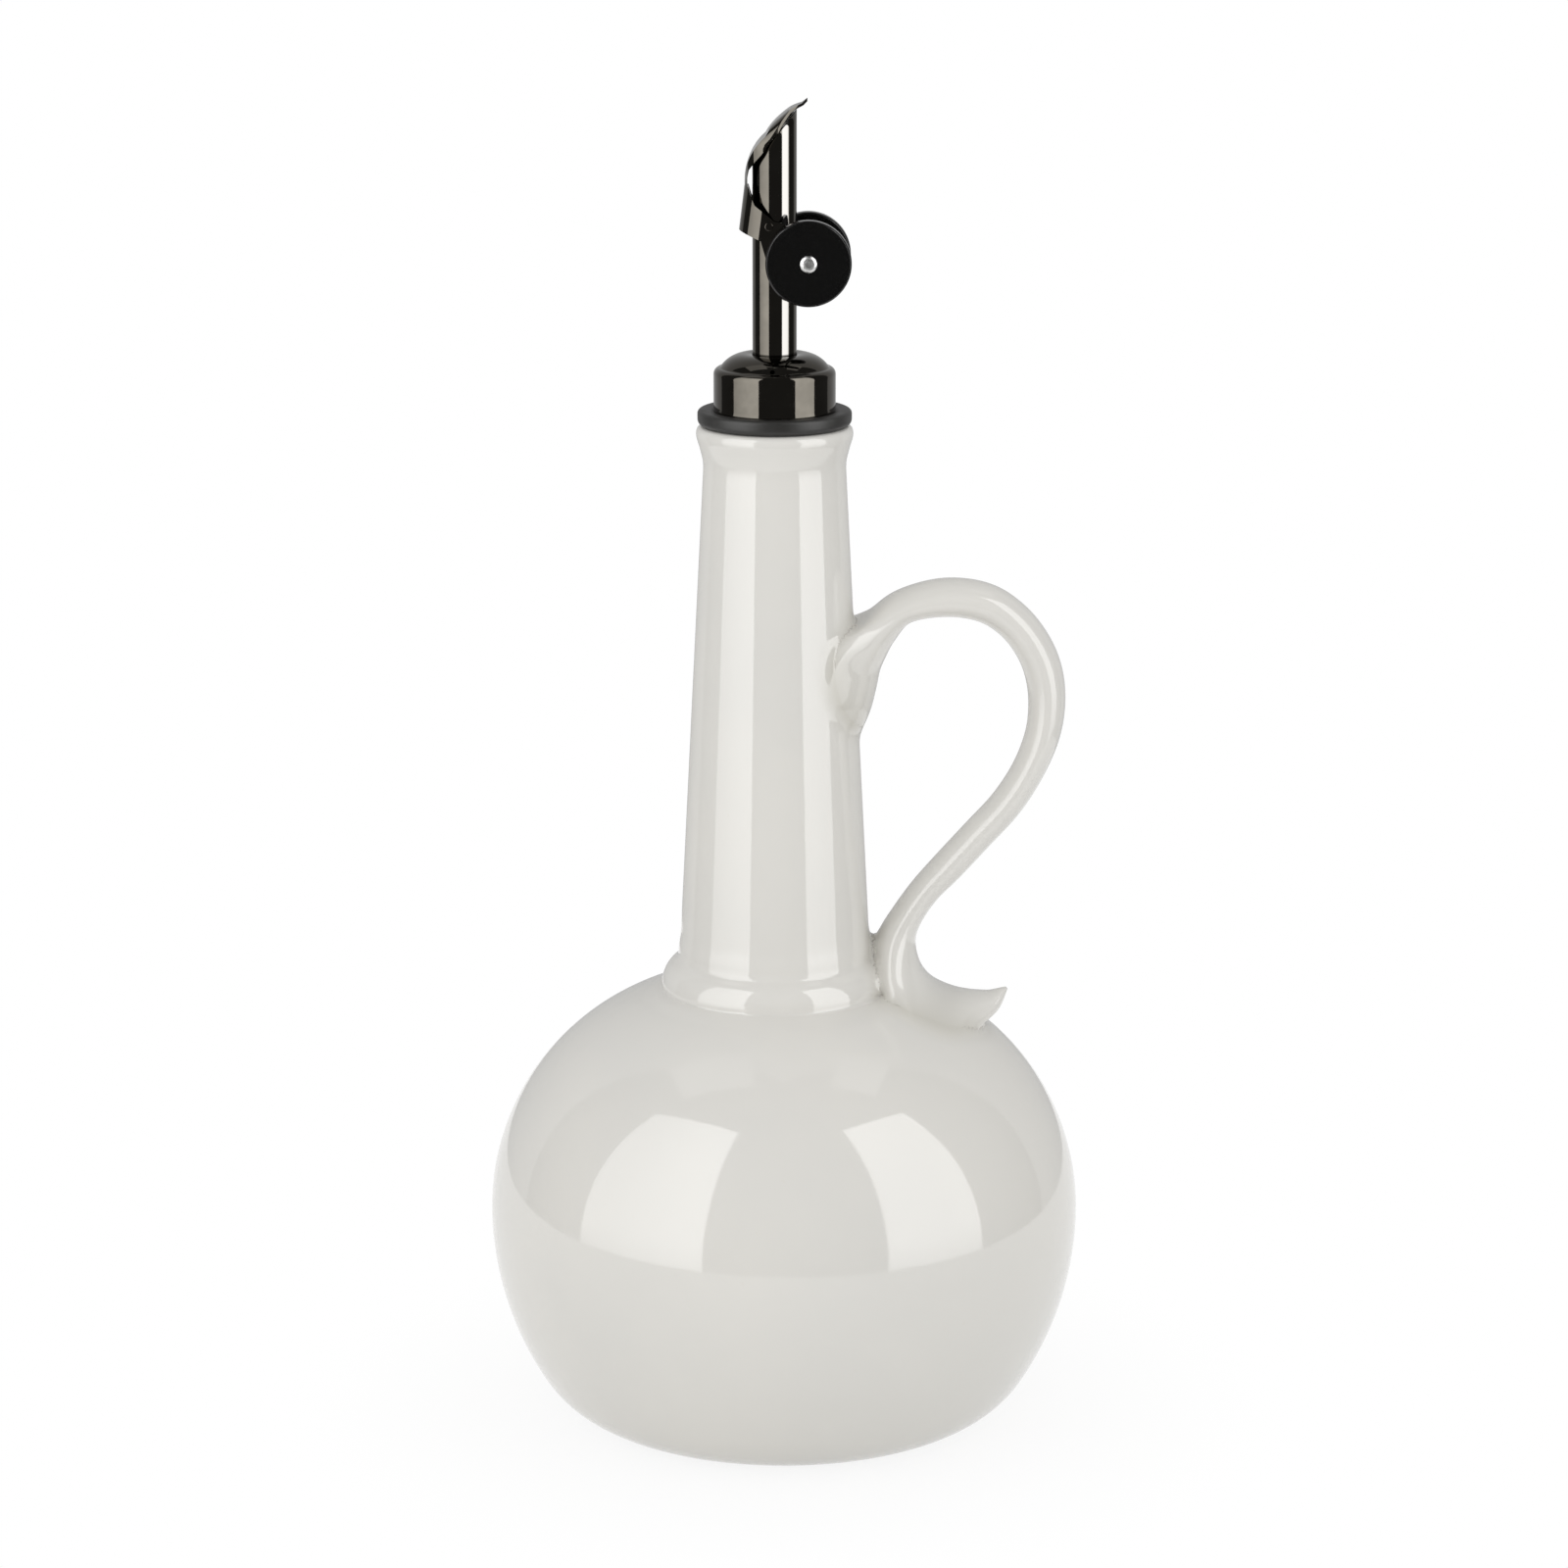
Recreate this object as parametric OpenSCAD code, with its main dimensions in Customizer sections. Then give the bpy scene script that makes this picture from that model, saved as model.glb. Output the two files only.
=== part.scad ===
// Oil cruet: a glazed ceramic bottle with a side handle and a weighted flip-top pourer.
// Origin at the centre of the foot on the table, +Z up, handle and pouring nib towards +X.

/* [Bottle body] */
// Largest diameter of the belly
belly_d = 110; // [100:1:120]
// Height of the belly's widest ring
belly_z = 39.5; // [38:0.5:42]
// Radius of the belly's upper arc
shoulder_r = 44; // [42:0.5:46]
// Radius of the belly's lower arc
flank_r = 58; // [54:0.5:64]
// Radius of the rounded heel above the foot
heel_r = 18; // [15:0.5:20]
// Thickness of the ceramic wall
wall = 4.5; // [3.5:0.1:5]
// Thickness of the floor
floor_t = 6.5; // [5:0.5:9]
// Inner diameter of the foot ring
foot_bore_d = 46; // [36:1:52]
// Depth of the recess inside the foot ring
foot_recess = 2; // [1:0.25:3]

/* [Neck] */
// Height of the bottle's mouth
mouth_z = 188; // [183:0.5:195]
// Outer diameter at the top of the neck
neck_top_d = 26; // [25:0.25:27]
// Outer diameter at the foot of the neck
neck_foot_d = 35; // [33:0.25:37]
// How far the neck stands off the body's centre, away from the handle
neck_shift = 1.7; // [0:0.1:2.5]
// Outer diameter of the lip
lip_d = 28.7; // [28:0.1:31]
// Height of the lip and the cove under it
lip_h = 7.5; // [5:0.25:9]
// Bore of the mouth that the stopper fills
mouth_bore_d = 19; // [18:0.1:19.6]
// Length of the straight bore below the mouth
mouth_bore_h = 30; // [26:0.5:34]
// Outer diameter of the collar at the neck's foot
collar_d = 42.2; // [40:0.2:44]
// Height of the collar's widest ring
collar_z = 82.8; // [81.5:0.1:84]
// Radius of the collar's rounded edge
collar_round = 5.9; // [5:0.1:6.5]

/* [Handle] */
// Height of the handle's arch, at the middle of the strand
arch_z = 156; // [150:0.5:160]
// Distance from the body's axis to the middle of the strand at its outermost
handle_reach = 48.4; // [46:0.2:51]
// Thickness of the strand, seen from the side
strand_t = 7; // [5.5:0.1:8]
// Width of the strand, seen from the end
strand_w = 10.6; // [9:0.1:13]
// Width of the leaf where the strand meets the neck
upper_leaf_w = 22; // [18:0.5:24]
// Width of the leaf that lies on the shoulder
lower_leaf_w = 32; // [26:0.5:34]
// How far the leaf's curled tip stands over the shoulder
tip_rise = 10; // [8.5:0.25:12]

/* [Pourer] */
// Diameter of the rubber flange
flange_d = 28.1; // [26:0.1:30]
// Thickness of the rubber flange
flange_t = 2.9; // [2.6:0.1:4]
// Length of the ribbed plug in the mouth
plug_h = 20; // [16:0.5:24]
// Gap between the ribs and the mouth's bore
plug_clear = 0.1; // [0.05:0.01:0.2]
// Number of ribs on the plug
rib_count = 4; // [3:1:5]
// Depth of the seat for the cap in the flange's top
seat_depth = 0.3; // [0.1:0.05:0.5]
// Diameter of the metal cap
cap_d = 22.2; // [21:0.1:24]
// Height of the cap above the flange
cap_h = 10.2; // [9.5:0.1:11]
// Radius of the cap's dome
cap_round = 5.5; // [5:0.1:6]
// Radius of the corner on the cap's wall
cap_corner = 1.2; // [1:0.1:1.4]
// How far the dome stands in from the cap's wall
cap_step = 1.2; // [1.1:0.1:1.5]
// Thickness of the cap's sheet
cap_sheet = 0.6; // [0.4:0.05:0.8]
// Outer diameter of the pouring tube
tube_d = 8; // [7.6:0.1:8.6]
// Wall of the pouring tube
tube_wall = 0.5; // [0.4:0.05:0.8]
// Height of the slanted mouth's middle above the bottle's mouth
spout_h = 53.5; // [50:0.5:58]
// Angle of the slanted mouth from level
spout_angle = 41; // [38:0.5:44]
// Outer diameter of the air tube
vent_d = 2.4; // [2:0.1:2.8]
// How far the air tube reaches below the bottle's mouth
vent_drop = 46; // [40:0.5:55]
// Diameter of the air hole in the cap
vent_hole_d = 0.9; // [0.7:0.1:1.2]
// Gap between pieces of the pourer that are pushed together
seat_clear = 0.05; // [0.02:0.01:0.1]

/* [Flap] */
// Thickness of the flap's sheet
sheet = 0.5; // [0.4:0.05:0.6]
// Gap between the tube and each cheek of the flap
cheek_gap = 0.4; // [0.3:0.05:0.6]
// Gap between the back of the flap and the tube
back_gap = 0.9; // [0.8:0.1:1.4]
// Gap between the lid and the slanted mouth
lid_gap = 0.3; // [0.2:0.05:0.5]
// Outward lean of the skirt under the back strap
skirt_lean = 7; // [5:0.5:9]
// Drop of the skirt's lower edge below the window
skirt_h = 7.5; // [6:0.25:9]
// Drop from the slanted mouth's middle to the flap's hinge
hinge_drop = 16.8; // [16.2:0.1:17.4]
// Diameter of the flap's hinge pin
hinge_pin_d = 1.2; // [1:0.1:1.4]

/* [Weights] */
// Diameter of each weight disc
disc_d = 15.5; // [14:0.1:16.5]
// Thickness of each weight disc
disc_t = 2.5; // [2:0.1:3.5]
// Bevel around each disc
disc_bevel = 0.3; // [0.1:0.05:0.5]
// Diameter of the rivet's shaft
rivet_d = 2; // [1.6:0.1:2.2]
// Diameter of the rivet's heads
rivet_head_d = 3.1; // [2.8:0.1:3.6]
// Height of each rivet head
rivet_head_h = 0.6; // [0.4:0.05:0.9]
// Distance from the tube's axis to the rivet
rivet_reach = 6.1; // [5.8:0.1:6.6]
// Drop from the slanted mouth's middle to the rivet
rivet_drop = 23.2; // [22:0.2:25]
// Running gap of the pins in their holes
pin_clear = 0.06; // [0.03:0.01:0.1]
// Side gap between moving pieces
side_clear = 0.2; // [0.15:0.05:0.3]

/* [Hidden] */
$fn = 96;
eps = 0.01;

glaze = [0.86, 0.85, 0.82];
black_rubber = [0.11, 0.11, 0.11];
gunmetal = [0.22, 0.21, 0.20];
black_plastic = [0.08, 0.08, 0.08];
bright_steel = [0.78, 0.78, 0.79];

// Points of an arc in the profile plane, from angle a to angle b
function arc(cx, cz, r, a, b, steps) =
    [for (i = [0:steps]) let (t = a + (b - a) * i / steps) [cx + r * cos(t), cz + r * sin(t)]];

// Belly: an upper arc, a lower arc tangent to it at the widest ring, and the heel
belly_r = belly_d / 2;
shoulder_cx = belly_r - shoulder_r;
flank_cx = belly_r - flank_r;
heel_a = asin((belly_z - heel_r) / (flank_r - heel_r));
heel_cx = flank_cx + (flank_r - heel_r) * cos(heel_a);
neck_join_r = 15;

// Height of the belly's outside at a distance r from its axis
function shoulder_z(r) =
    belly_z + sqrt(pow(shoulder_r, 2) - pow(min(r, belly_r - eps) - shoulder_cx, 2));

// Outline of the belly, drawn in by t from the outside, closed on the axis
function belly_outline(t, low_z) =
    let (top_a = acos((neck_join_r - shoulder_cx) / (shoulder_r - t)))
    concat(
        [[0, low_z], [heel_cx, low_z]],
        arc(heel_cx, heel_r, heel_r - t, -90, -heel_a, 8),
        arc(flank_cx, belly_z, flank_r - t, -heel_a + 2, 0, 10),
        arc(shoulder_cx, belly_z, shoulder_r - t, 4, top_a, 18),
        [[0, belly_z + (shoulder_r - t) * sin(top_a)]]
    );

// Neck: a cone between the collar and the lip's cove
collar_rise = 9.7;
neck_low_z = collar_z + collar_rise;
neck_high_z = mouth_z - lip_h;

// Outer radius of the neck at height z
function neck_r(z) =
    neck_foot_d / 2 - (neck_foot_d - neck_top_d) / 2 * (z - neck_low_z) / (neck_high_z - neck_low_z);

// Outermost X of the neck at height z
function neck_x(z) = neck_r(z) - neck_shift;

// Pourer's heights
flange_top = mouth_z + flange_t;
cap_seat = flange_top - seat_depth;
cap_top = flange_top + cap_h;
dome_z = cap_top - cap_round;
spout_z = mouth_z + spout_h;
axis_x = -neck_shift;
tube_r = tube_d / 2;
vent_y = tube_r + vent_d / 2 + 0.9;
vent_turn = -3;
vent_lean = 40;

// Flap: a sheet bent round the tube into two flat cheeks and a round back
cheek_in = tube_r + cheek_gap;
cheek_out = cheek_in + sheet;
back_x = -tube_r - back_gap - sheet;
back_cx = back_x + cheek_out;
spout_slope = tan(spout_angle);
rivet_x = rivet_reach;
rivet_z = spout_z - rivet_drop;
hinge_x = -1;
hinge_z = spout_z - hinge_drop;
window_low = spout_z - 10.2;
fold_z = window_low + 0.6;
lap_z = window_low + 0.3;
window_high = spout_z - 7;
nib_x = tube_r + 1.9;
arm_r = 3.2;
bend_r = 11;
mouth_lean = 7;
bend_cx = back_x + bend_r;
bend_z = spout_z + bend_cx * spout_slope - (bend_r - sheet) / cos(spout_angle);
// The lid bulges by lid_rise over the straight line from the bend to the nib
lid_rise = 0.8;
lid_edge_r = 2.8;
lid_from = bend_cx - bend_r * sin(spout_angle);
lid_to = nib_x - 1;
nib_rise = 0.3;
lid_r = pow((lid_to - lid_from) / cos(spout_angle), 2) / (8 * lid_rise) + lid_rise / 2;
weight_in = cheek_out + side_clear;
weight_out = weight_in + disc_t;

// Turns a profile in the X-Z plane into a plate of a given thickness, centred on the X-Z plane
module side_plate(t) {
    translate([0, t / 2, 0]) rotate([90, 0, 0]) linear_extrude(t) children();
}

// Places a piece on the pourer's axis
module on_pourer() {
    translate([axis_x, 0, 0]) children();
}

// Handle
// Each station is the strand's middle in X and Z, half its thickness, half its width,
// and how far its sides bend to the right of its run, or to the left if negative
upper_leaf = upper_leaf_w / 2;
lower_leaf = lower_leaf_w / 2;
half_t = strand_t / 2;
half_w = strand_w / 2;
leaf_z = arch_z - 24.4;
loop_mid = arch_z - 20;
foot_z = shoulder_z(21);
tip_z = shoulder_z(41) + tip_rise;
web_h = 8.4;

handle_stations = [
    [neck_x(leaf_z) - 0.6, leaf_z, 0.5, 0.6, 0],
    [neck_x(leaf_z) - 0.6, leaf_z + 1.2, 1.8, 0.5 * upper_leaf, -0.8],
    [neck_x(leaf_z) - 0.8, leaf_z + 3.8, 3.2, 0.78 * upper_leaf, -2.2],
    [neck_x(leaf_z) - 1, leaf_z + 8, 4.3, 0.95 * upper_leaf, -3.7],
    [neck_x(leaf_z) - 0.5, leaf_z + 12, 4.5, upper_leaf, -4.4],
    [neck_x(leaf_z) + 1.4, leaf_z + 15.4, 4.1, 0.93 * upper_leaf, -4],
    [neck_x(leaf_z) + 3.9, leaf_z + 18.6, 3.4, 0.7 * upper_leaf, -1.8],
    [neck_x(leaf_z) + 7.9, leaf_z + 22.6, half_t - 0.4, half_w + 0.7, -0.2],
    [29.3, arch_z, half_t, half_w + 0.3, 0],
    [36.6, arch_z - 0.9, half_t + 0.1, half_w, 0],
    [handle_reach - 6.5, arch_z - 4.2, half_t, half_w, 0],
    [handle_reach - 2.7, arch_z - 9, half_t, half_w, 0],
    [handle_reach - 0.6, arch_z - 14.2, half_t, half_w, 0],
    [handle_reach, loop_mid, half_t - 0.1, half_w, 0],
    [handle_reach - 0.8, loop_mid - 6, half_t - 0.3, half_w, 0],
    [handle_reach - 3.4, loop_mid - 12.6, half_t - 0.5, half_w - 0.2, 0],
    [handle_reach - 7.4, loop_mid - 19, half_t - 0.5, half_w - 0.3, 0],
    [36, loop_mid - 24.6, half_t - 0.5, half_w - 0.4, 0],
    [30.6, loop_mid - 30.6, half_t - 0.5, half_w - 0.4, 0],
    [26, foot_z + 18, half_t - 0.7, half_w - 0.4, 0],
    [22.4, foot_z + 12.5, half_t - 0.5, half_w + 0.2, 0],
    [20.8, foot_z + 8, half_t + 0.3, half_w + 1.8, 0.3],
    [21.4, foot_z + 3.2, 4.1, 0.68 * lower_leaf, 1.6],
    [24.6, foot_z - 0.9, 3.5, 0.95 * lower_leaf, 2.9],
    [29.2, foot_z - 3.6, 2.9, 0.98 * lower_leaf, 2.2],
    [34.2, foot_z - 4.2, 2.8, 0.6 * lower_leaf, 1.2],
    [38.3, tip_z - 2.7, 2.2, 0.32 * lower_leaf, 0.5],
    [40.5, tip_z - 0.9, 1, 0.13 * lower_leaf, 0.1],
    [41.5, tip_z, 0.3, 0.5, 0]
];
ring_sides = 18;
rings_each = 2;

// A smooth curve through the stations, by their index u
function spline(u) =
    let (
        n = len(handle_stations),
        i = min(floor(u), n - 2),
        t = u - i,
        a = handle_stations[max(i - 1, 0)],
        b = handle_stations[i],
        c = handle_stations[i + 1],
        d = handle_stations[min(i + 2, n - 1)]
    )
    b + t / 2 * ((c - a) + t * ((2 * a - 5 * b + 4 * c - d) + t * (3 * b - a - 3 * c + d)));

// Direction of the strand at u, as a unit vector in X and Z
function heading(u) =
    let (
        last = len(handle_stations) - 1,
        p = spline(min(u + 0.05, last)),
        q = spline(max(u - 0.05, 0)),
        v = [p[0] - q[0], p[1] - q[1]]
    )
    v / norm(v);

// One ring of the strand: an oval across its direction, with its sides bent
function strand_ring(u) =
    let (s = spline(u), h = heading(u))
    [for (k = [0:ring_sides - 1])
        let (
            a = 360 * k / ring_sides,
            out = s[2] * cos(a) - s[4] * pow(sin(a), 2)
        )
        [s[0] - out * h[1], s[3] * sin(a), s[1] + out * h[0]]];

module handle() {
    count = (len(handle_stations) - 1) * rings_each;
    rings = [for (i = [0:count]) strand_ring(i / rings_each)];
    sides = [for (i = [0:count - 1], k = [0:ring_sides - 1])
        let (m = (k + 1) % ring_sides, a = i * ring_sides, b = a + ring_sides)
        [[a + k, b + m, b + k], [a + k, a + m, b + m]]];
    start = [for (k = [ring_sides - 1:-1:0]) k];
    end = [for (k = [0:ring_sides - 1]) count * ring_sides + k];
    polyhedron(
        points = [for (r = rings, p = r) p],
        faces = concat([for (pair = sides, f = pair) f], [start], [end])
    );
}

// Web that closes the narrow gap between the neck and the strand
module web() {
    translate([neck_x(foot_z + 8) + 1, 0, collar_z]) cylinder(h = web_h, r = 2.6);
}

// Outside of the neck with its collar and lip
module neck_form() {
    edge_r = 1;
    lip_r = lip_d / 2;
    rotate_extrude() polygon(concat(
        [[0, collar_z - 8], [collar_d / 2 - 0.6, collar_z - 8]],
        arc(collar_d / 2 - collar_round, collar_z, collar_round, 0, 62, 8),
        [[neck_foot_d / 2 + 0.35, neck_low_z - 2.2]],
        [[neck_foot_d / 2, neck_low_z]],
        [[neck_top_d / 2, neck_high_z]],
        [[neck_top_d / 2 + 0.1, neck_high_z + 1.2], [lip_r - 0.55, mouth_z - 3.6], [lip_r, mouth_z - 2]],
        arc(lip_r - edge_r, mouth_z - edge_r, edge_r, 10, 90, 5),
        [[0, mouth_z]]
    ));
}

// Space inside the neck: the mouth's bore, then a cone down into the belly
module neck_hollow() {
    bore_r = mouth_bore_d / 2;
    bore_low = mouth_z - mouth_bore_h;
    foot_r = neck_foot_d / 2 - wall;
    rotate_extrude() polygon([
        [0, belly_z], [foot_r, belly_z], [foot_r, neck_low_z],
        [bore_r, bore_low], [bore_r, mouth_z - 0.6], [bore_r + 0.6, mouth_z + eps],
        [bore_r + 0.6, mouth_z + 1], [0, mouth_z + 1]
    ]);
}

module bottle() {
    color(glaze) difference() {
        union() {
            union() {
                rotate_extrude() polygon(belly_outline(0, 0));
                on_pourer() neck_form();
            }
            handle();
            web();
        }
        rotate_extrude() polygon(belly_outline(wall, floor_t));
        on_pourer() neck_hollow();
        translate([0, 0, -1]) cylinder(h = foot_recess + 1, d = foot_bore_d);
    }
}

// Stopper: a flange on the lip and a ribbed plug in the mouth
module stopper() {
    rib_r = mouth_bore_d / 2 - plug_clear;
    core_r = rib_r - 1;
    rib_t = 1.4;
    rib_pitch = (plug_h - 2) / rib_count;
    edge_r = 1.3;
    edge_x = flange_d / 2 - edge_r;
    color(black_rubber) on_pourer() difference() {
        union() {
            rotate_extrude() polygon(concat(
                [[0, mouth_z]],
                arc(edge_x, mouth_z + edge_r, edge_r, -90, 0, 6),
                arc(edge_x, flange_top - edge_r, edge_r, 0, 90, 6),
                [[cap_d / 2 + 0.4, flange_top], [cap_d / 2 + 0.1, cap_seat], [0, cap_seat]]
            ));
            translate([0, 0, mouth_z - plug_h]) cylinder(h = plug_h + eps, r = core_r);
            for (i = [0:rib_count - 1])
                translate([0, 0, mouth_z - plug_h + 1 + i * rib_pitch])
                    cylinder(h = rib_t, r1 = core_r, r2 = rib_r);
        }
        translate([0, 0, mouth_z - plug_h - 1])
            cylinder(h = plug_h + flange_t + 2, r = tube_r + seat_clear);
        translate([0, vent_y, mouth_z - plug_h - 1])
            cylinder(h = plug_h + flange_t + 2, r = vent_d / 2 + seat_clear);
    }
}

// Line of the cap's sheet, drawn in by t: wall, corner, dome, then a valley up to the tube
function cap_line(t) =
    let (
        shelf = 78,
        start = 33,
        lean = 25,
        valley_r = 0.9,
        corner_x = cap_d / 2 - cap_corner,
        dome_x = cap_d / 2 - cap_step - cap_round * cos(start),
        corner_z = dome_z + cap_round * sin(start) - cap_corner * sin(shelf),
        valley_x = dome_x - (cap_round + valley_r) * sin(lean),
        valley_z = dome_z + (cap_round + valley_r) * cos(lean)
    )
    concat(
        [[cap_d / 2 - t, cap_seat]],
        arc(corner_x, corner_z, cap_corner - t, 0, shelf, 6),
        arc(dome_x, dome_z, cap_round - t, start, 90 + lean, 12),
        arc(valley_x, valley_z, valley_r + t, 270 + lean - 5, 180, 6)
    );

// Cap: a drawn dome over the flange, hollow below, with the tube through its crown
module cap() {
    inner = cap_line(cap_sheet);
    color(gunmetal) on_pourer() difference() {
        rotate_extrude() polygon(concat(cap_line(0), [for (i = [len(inner) - 1:-1:0]) inner[i]]));
        translate([0, 0, cap_seat - 1]) cylinder(h = cap_h + 4, r = tube_r + seat_clear);
        rotate([0, 0, vent_turn]) translate([0, -cap_d / 3, dome_z + 1])
            rotate([vent_lean, 0, 0]) cylinder(h = 2 * cap_round, d = vent_hole_d);
    }
}

// Tube: straight, with a slanted mouth that rises to a thin nib
module pour_tube() {
    low = mouth_z - plug_h - 3;
    length = spout_z - low + 12;
    color(gunmetal) on_pourer() difference() {
        translate([0, 0, low]) cylinder(h = length, r = tube_r);
        translate([0, 0, low - 1]) cylinder(h = length + 2, r = tube_r - tube_wall);
        above_mouth();
        cross_hole(hinge_x, hinge_z, hinge_pin_d + 2 * seat_clear);
    }
}

// Everything above the slanted mouth, which falls a little more steeply than the lid
module above_mouth() {
    size = 20;
    translate([tube_r, 0, spout_z + tube_r * spout_slope + nib_rise - lid_gap]) rotate([0, -spout_angle - mouth_lean, 0])
        translate([-size, -size, 0]) cube([2 * size, 2 * size, size]);
}

// Air tube from the cap's hollow down into the neck
module air_tube() {
    low = mouth_z - vent_drop;
    length = cap_seat + 1.5 - low;
    color(gunmetal) on_pourer() translate([0, vent_y, low]) difference() {
        cylinder(h = length, d = vent_d);
        translate([0, 0, -1]) cylinder(h = length + 2, d = vent_d - 0.8);
    }
}

// Stub pins that the flap turns on, fixed in the tube's wall, with a thin head outside each cheek
module hinge_pins() {
    inner = tube_r - tube_wall - 0.4;
    outer = cheek_out + side_clear / 2;
    head_h = 0.3;
    color(gunmetal) on_pourer() translate([hinge_x, 0, hinge_z]) rotate([90, 0, 0])
        for (end = [0, 1]) mirror([0, 0, end]) {
            translate([0, 0, inner]) cylinder(h = outer - inner + eps, d = hinge_pin_d);
            translate([0, 0, outer])
                cylinder(h = head_h, r1 = 0.85 * hinge_pin_d, r2 = 0.6 * hinge_pin_d);
        }
}

// Flap
// Side view of everything under the lid and in front of the back strap, drawn in by t
module lid_side(t) {
    reach = nib_x + 2;
    polygon(concat(
        [[reach, reach * spout_slope + spout_z + (sheet - t) / cos(spout_angle)]],
        arc(bend_cx, bend_z, bend_r - t, 90 + spout_angle, 180, 8),
        [[back_x + t, window_low - 1], [reach, window_low - 1]]
    ));
    intersection() {
        translate([(lid_from + lid_to) / 2, lid_line_z((lid_from + lid_to) / 2)]) rotate(spout_angle)
            translate([0, lid_rise - lid_r]) circle(r = lid_r - t, $fn = 180);
        translate([lid_from - 2, window_low]) square([lid_to - lid_from + 4, 20]);
    }
}

// Height of the straight line from the bend to the nib, on the lid's upper side
function lid_line_z(x) = spout_z + x * spout_slope + sheet / cos(spout_angle);

// Beam along the lid whose long edges are rounded, drawn in by t
module lid_beam(t) {
    low = 30;
    half = cheek_out - t;
    round_r = lid_edge_r - t;
    translate([0, 0, lid_line_z(0)]) rotate([0, 90 - spout_angle, 0]) translate([0, 0, -40])
        linear_extrude(80) hull() {
            for (side = [-1, 1]) translate([round_r + t - lid_rise, side * (half - round_r)]) circle(r = round_r);
            translate([low, -half]) square([1, 2 * half]);
        }
}

// Plan of the folded sheet, drawn in by t: two cheeks and a round back
module flap_plan(t) {
    length = 22;
    translate([back_cx, 0]) circle(r = cheek_out - t);
    translate([back_cx, -cheek_out + t]) square([length, 2 * (cheek_out - t)]);
}

// Plan of the lid: full width over the tube, drawn to a point at the nib
module lid_plan() {
    point_r = 11;
    point_x = nib_x - sqrt(pow(point_r, 2) - pow(point_r - cheek_out, 2));
    intersection() {
        translate([point_x, point_r - cheek_out]) circle(r = point_r);
        translate([point_x, cheek_out - point_r]) circle(r = point_r);
        translate([point_x, -point_r]) square([point_r, 2 * point_r]);
    }
    translate([back_x - 1, -cheek_out - 1]) square([point_x - back_x + 1 + eps, 2 * cheek_out + 2]);
}

// Side view of the lid's narrow edges and the back strap
module lid_edge() {
    in_x = back_x + sheet;
    polygon([
        [nib_x + 1, spout_z + 9], [back_x - 1, spout_z + 9], [back_x - 1, window_low], [in_x, window_low],
        [in_x, window_high - 1.4], [in_x + 0.3, window_high + 0.1], [in_x + 1.4, window_high + 1.7],
        [in_x + 2.6, window_high + 3.1], [-0.9, spout_z - 1.8], [1.2, spout_z + 0.4], [nib_x - 1.2, spout_z + 3.4],
        [nib_x + 1, spout_z + 5.6]
    ]);
}

// Side view of the skirt and the arm that runs down to the rivet
module arm_side() {
    skirt_low = window_low - skirt_h;
    polygon([
        [back_x - 2, lap_z], [back_x - 2, skirt_low + 0.3], [back_x + 1.2, skirt_low - 1],
        [hinge_x - 1.5, skirt_low - 1.7], [hinge_x - 0.3, rivet_z - 0.4], [rivet_x - 1.6, rivet_z - arm_r + 0.3],
        [rivet_x, rivet_z - arm_r], [rivet_x + arm_r, rivet_z], [rivet_x + 2, rivet_z + 2.2],
        [hinge_x + 2.5, hinge_z + 0.6], [hinge_x + 0.9, hinge_z + 0.9], [hinge_x - 0.1, hinge_z + 1.8],
        [hinge_x - 2.6, hinge_z + 3.7], [back_x + 1.2, hinge_z + 5.1], [back_x + 0.7, lap_z]
    ]);
    translate([rivet_x, rivet_z]) circle(r = arm_r);
}

// Everything inside the lid, its cheeks and the back strap, drawn in by t
module lid_form(t, low_z) {
    intersection() {
        side_plate(4 * cheek_out) lid_side(t);
        lid_beam(t);
        translate([0, 0, low_z]) linear_extrude(31) flap_plan(t);
    }
}

module lid_sheet() {
    intersection() {
        difference() {
            lid_form(0, window_low);
            lid_form(sheet, window_low - 1);
        }
        side_plate(4 * cheek_out) lid_edge();
        translate([0, 0, window_low - 1]) linear_extrude(40) lid_plan();
    }
}

module skirt_sheet() {
    intersection() {
        translate([back_x, 0, fold_z]) rotate([0, skirt_lean, 0]) translate([-back_x, 0, -40])
            linear_extrude(41) difference() {
                flap_plan(0);
                flap_plan(sheet);
            }
        side_plate(4 * cheek_out) arm_side();
    }
}

module flap() {
    color(gunmetal) on_pourer() difference() {
        union() {
            lid_sheet();
            skirt_sheet();
        }
        cross_hole(hinge_x, hinge_z, hinge_pin_d + 2 * pin_clear);
        cross_hole(rivet_x, rivet_z, rivet_d + 2 * pin_clear);
    }
}

// Hole of diameter d along Y, through both cheeks
module cross_hole(x, z, d) {
    translate([x, 2 * cheek_out, z]) rotate([90, 0, 0]) cylinder(h = 4 * cheek_out, d = d);
}

// Weight disc with a bevelled rim, on the -Y side; the other is its mirror image
module weight() {
    on_pourer() translate([rivet_x, -weight_in, rivet_z]) rotate([90, 0, 0]) difference() {
        rotate_extrude() polygon([
            [0, 0], [disc_d / 2 - disc_bevel, 0], [disc_d / 2, disc_bevel],
            [disc_d / 2, disc_t - disc_bevel], [disc_d / 2 - disc_bevel, disc_t], [0, disc_t]
        ]);
        translate([0, 0, -1]) cylinder(h = disc_t + 2, d = rivet_d + 2 * seat_clear);
    }
}

module front_weight() {
    color(black_plastic) weight();
}

module rear_weight() {
    color(black_plastic) mirror([0, 1, 0]) weight();
}

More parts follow.
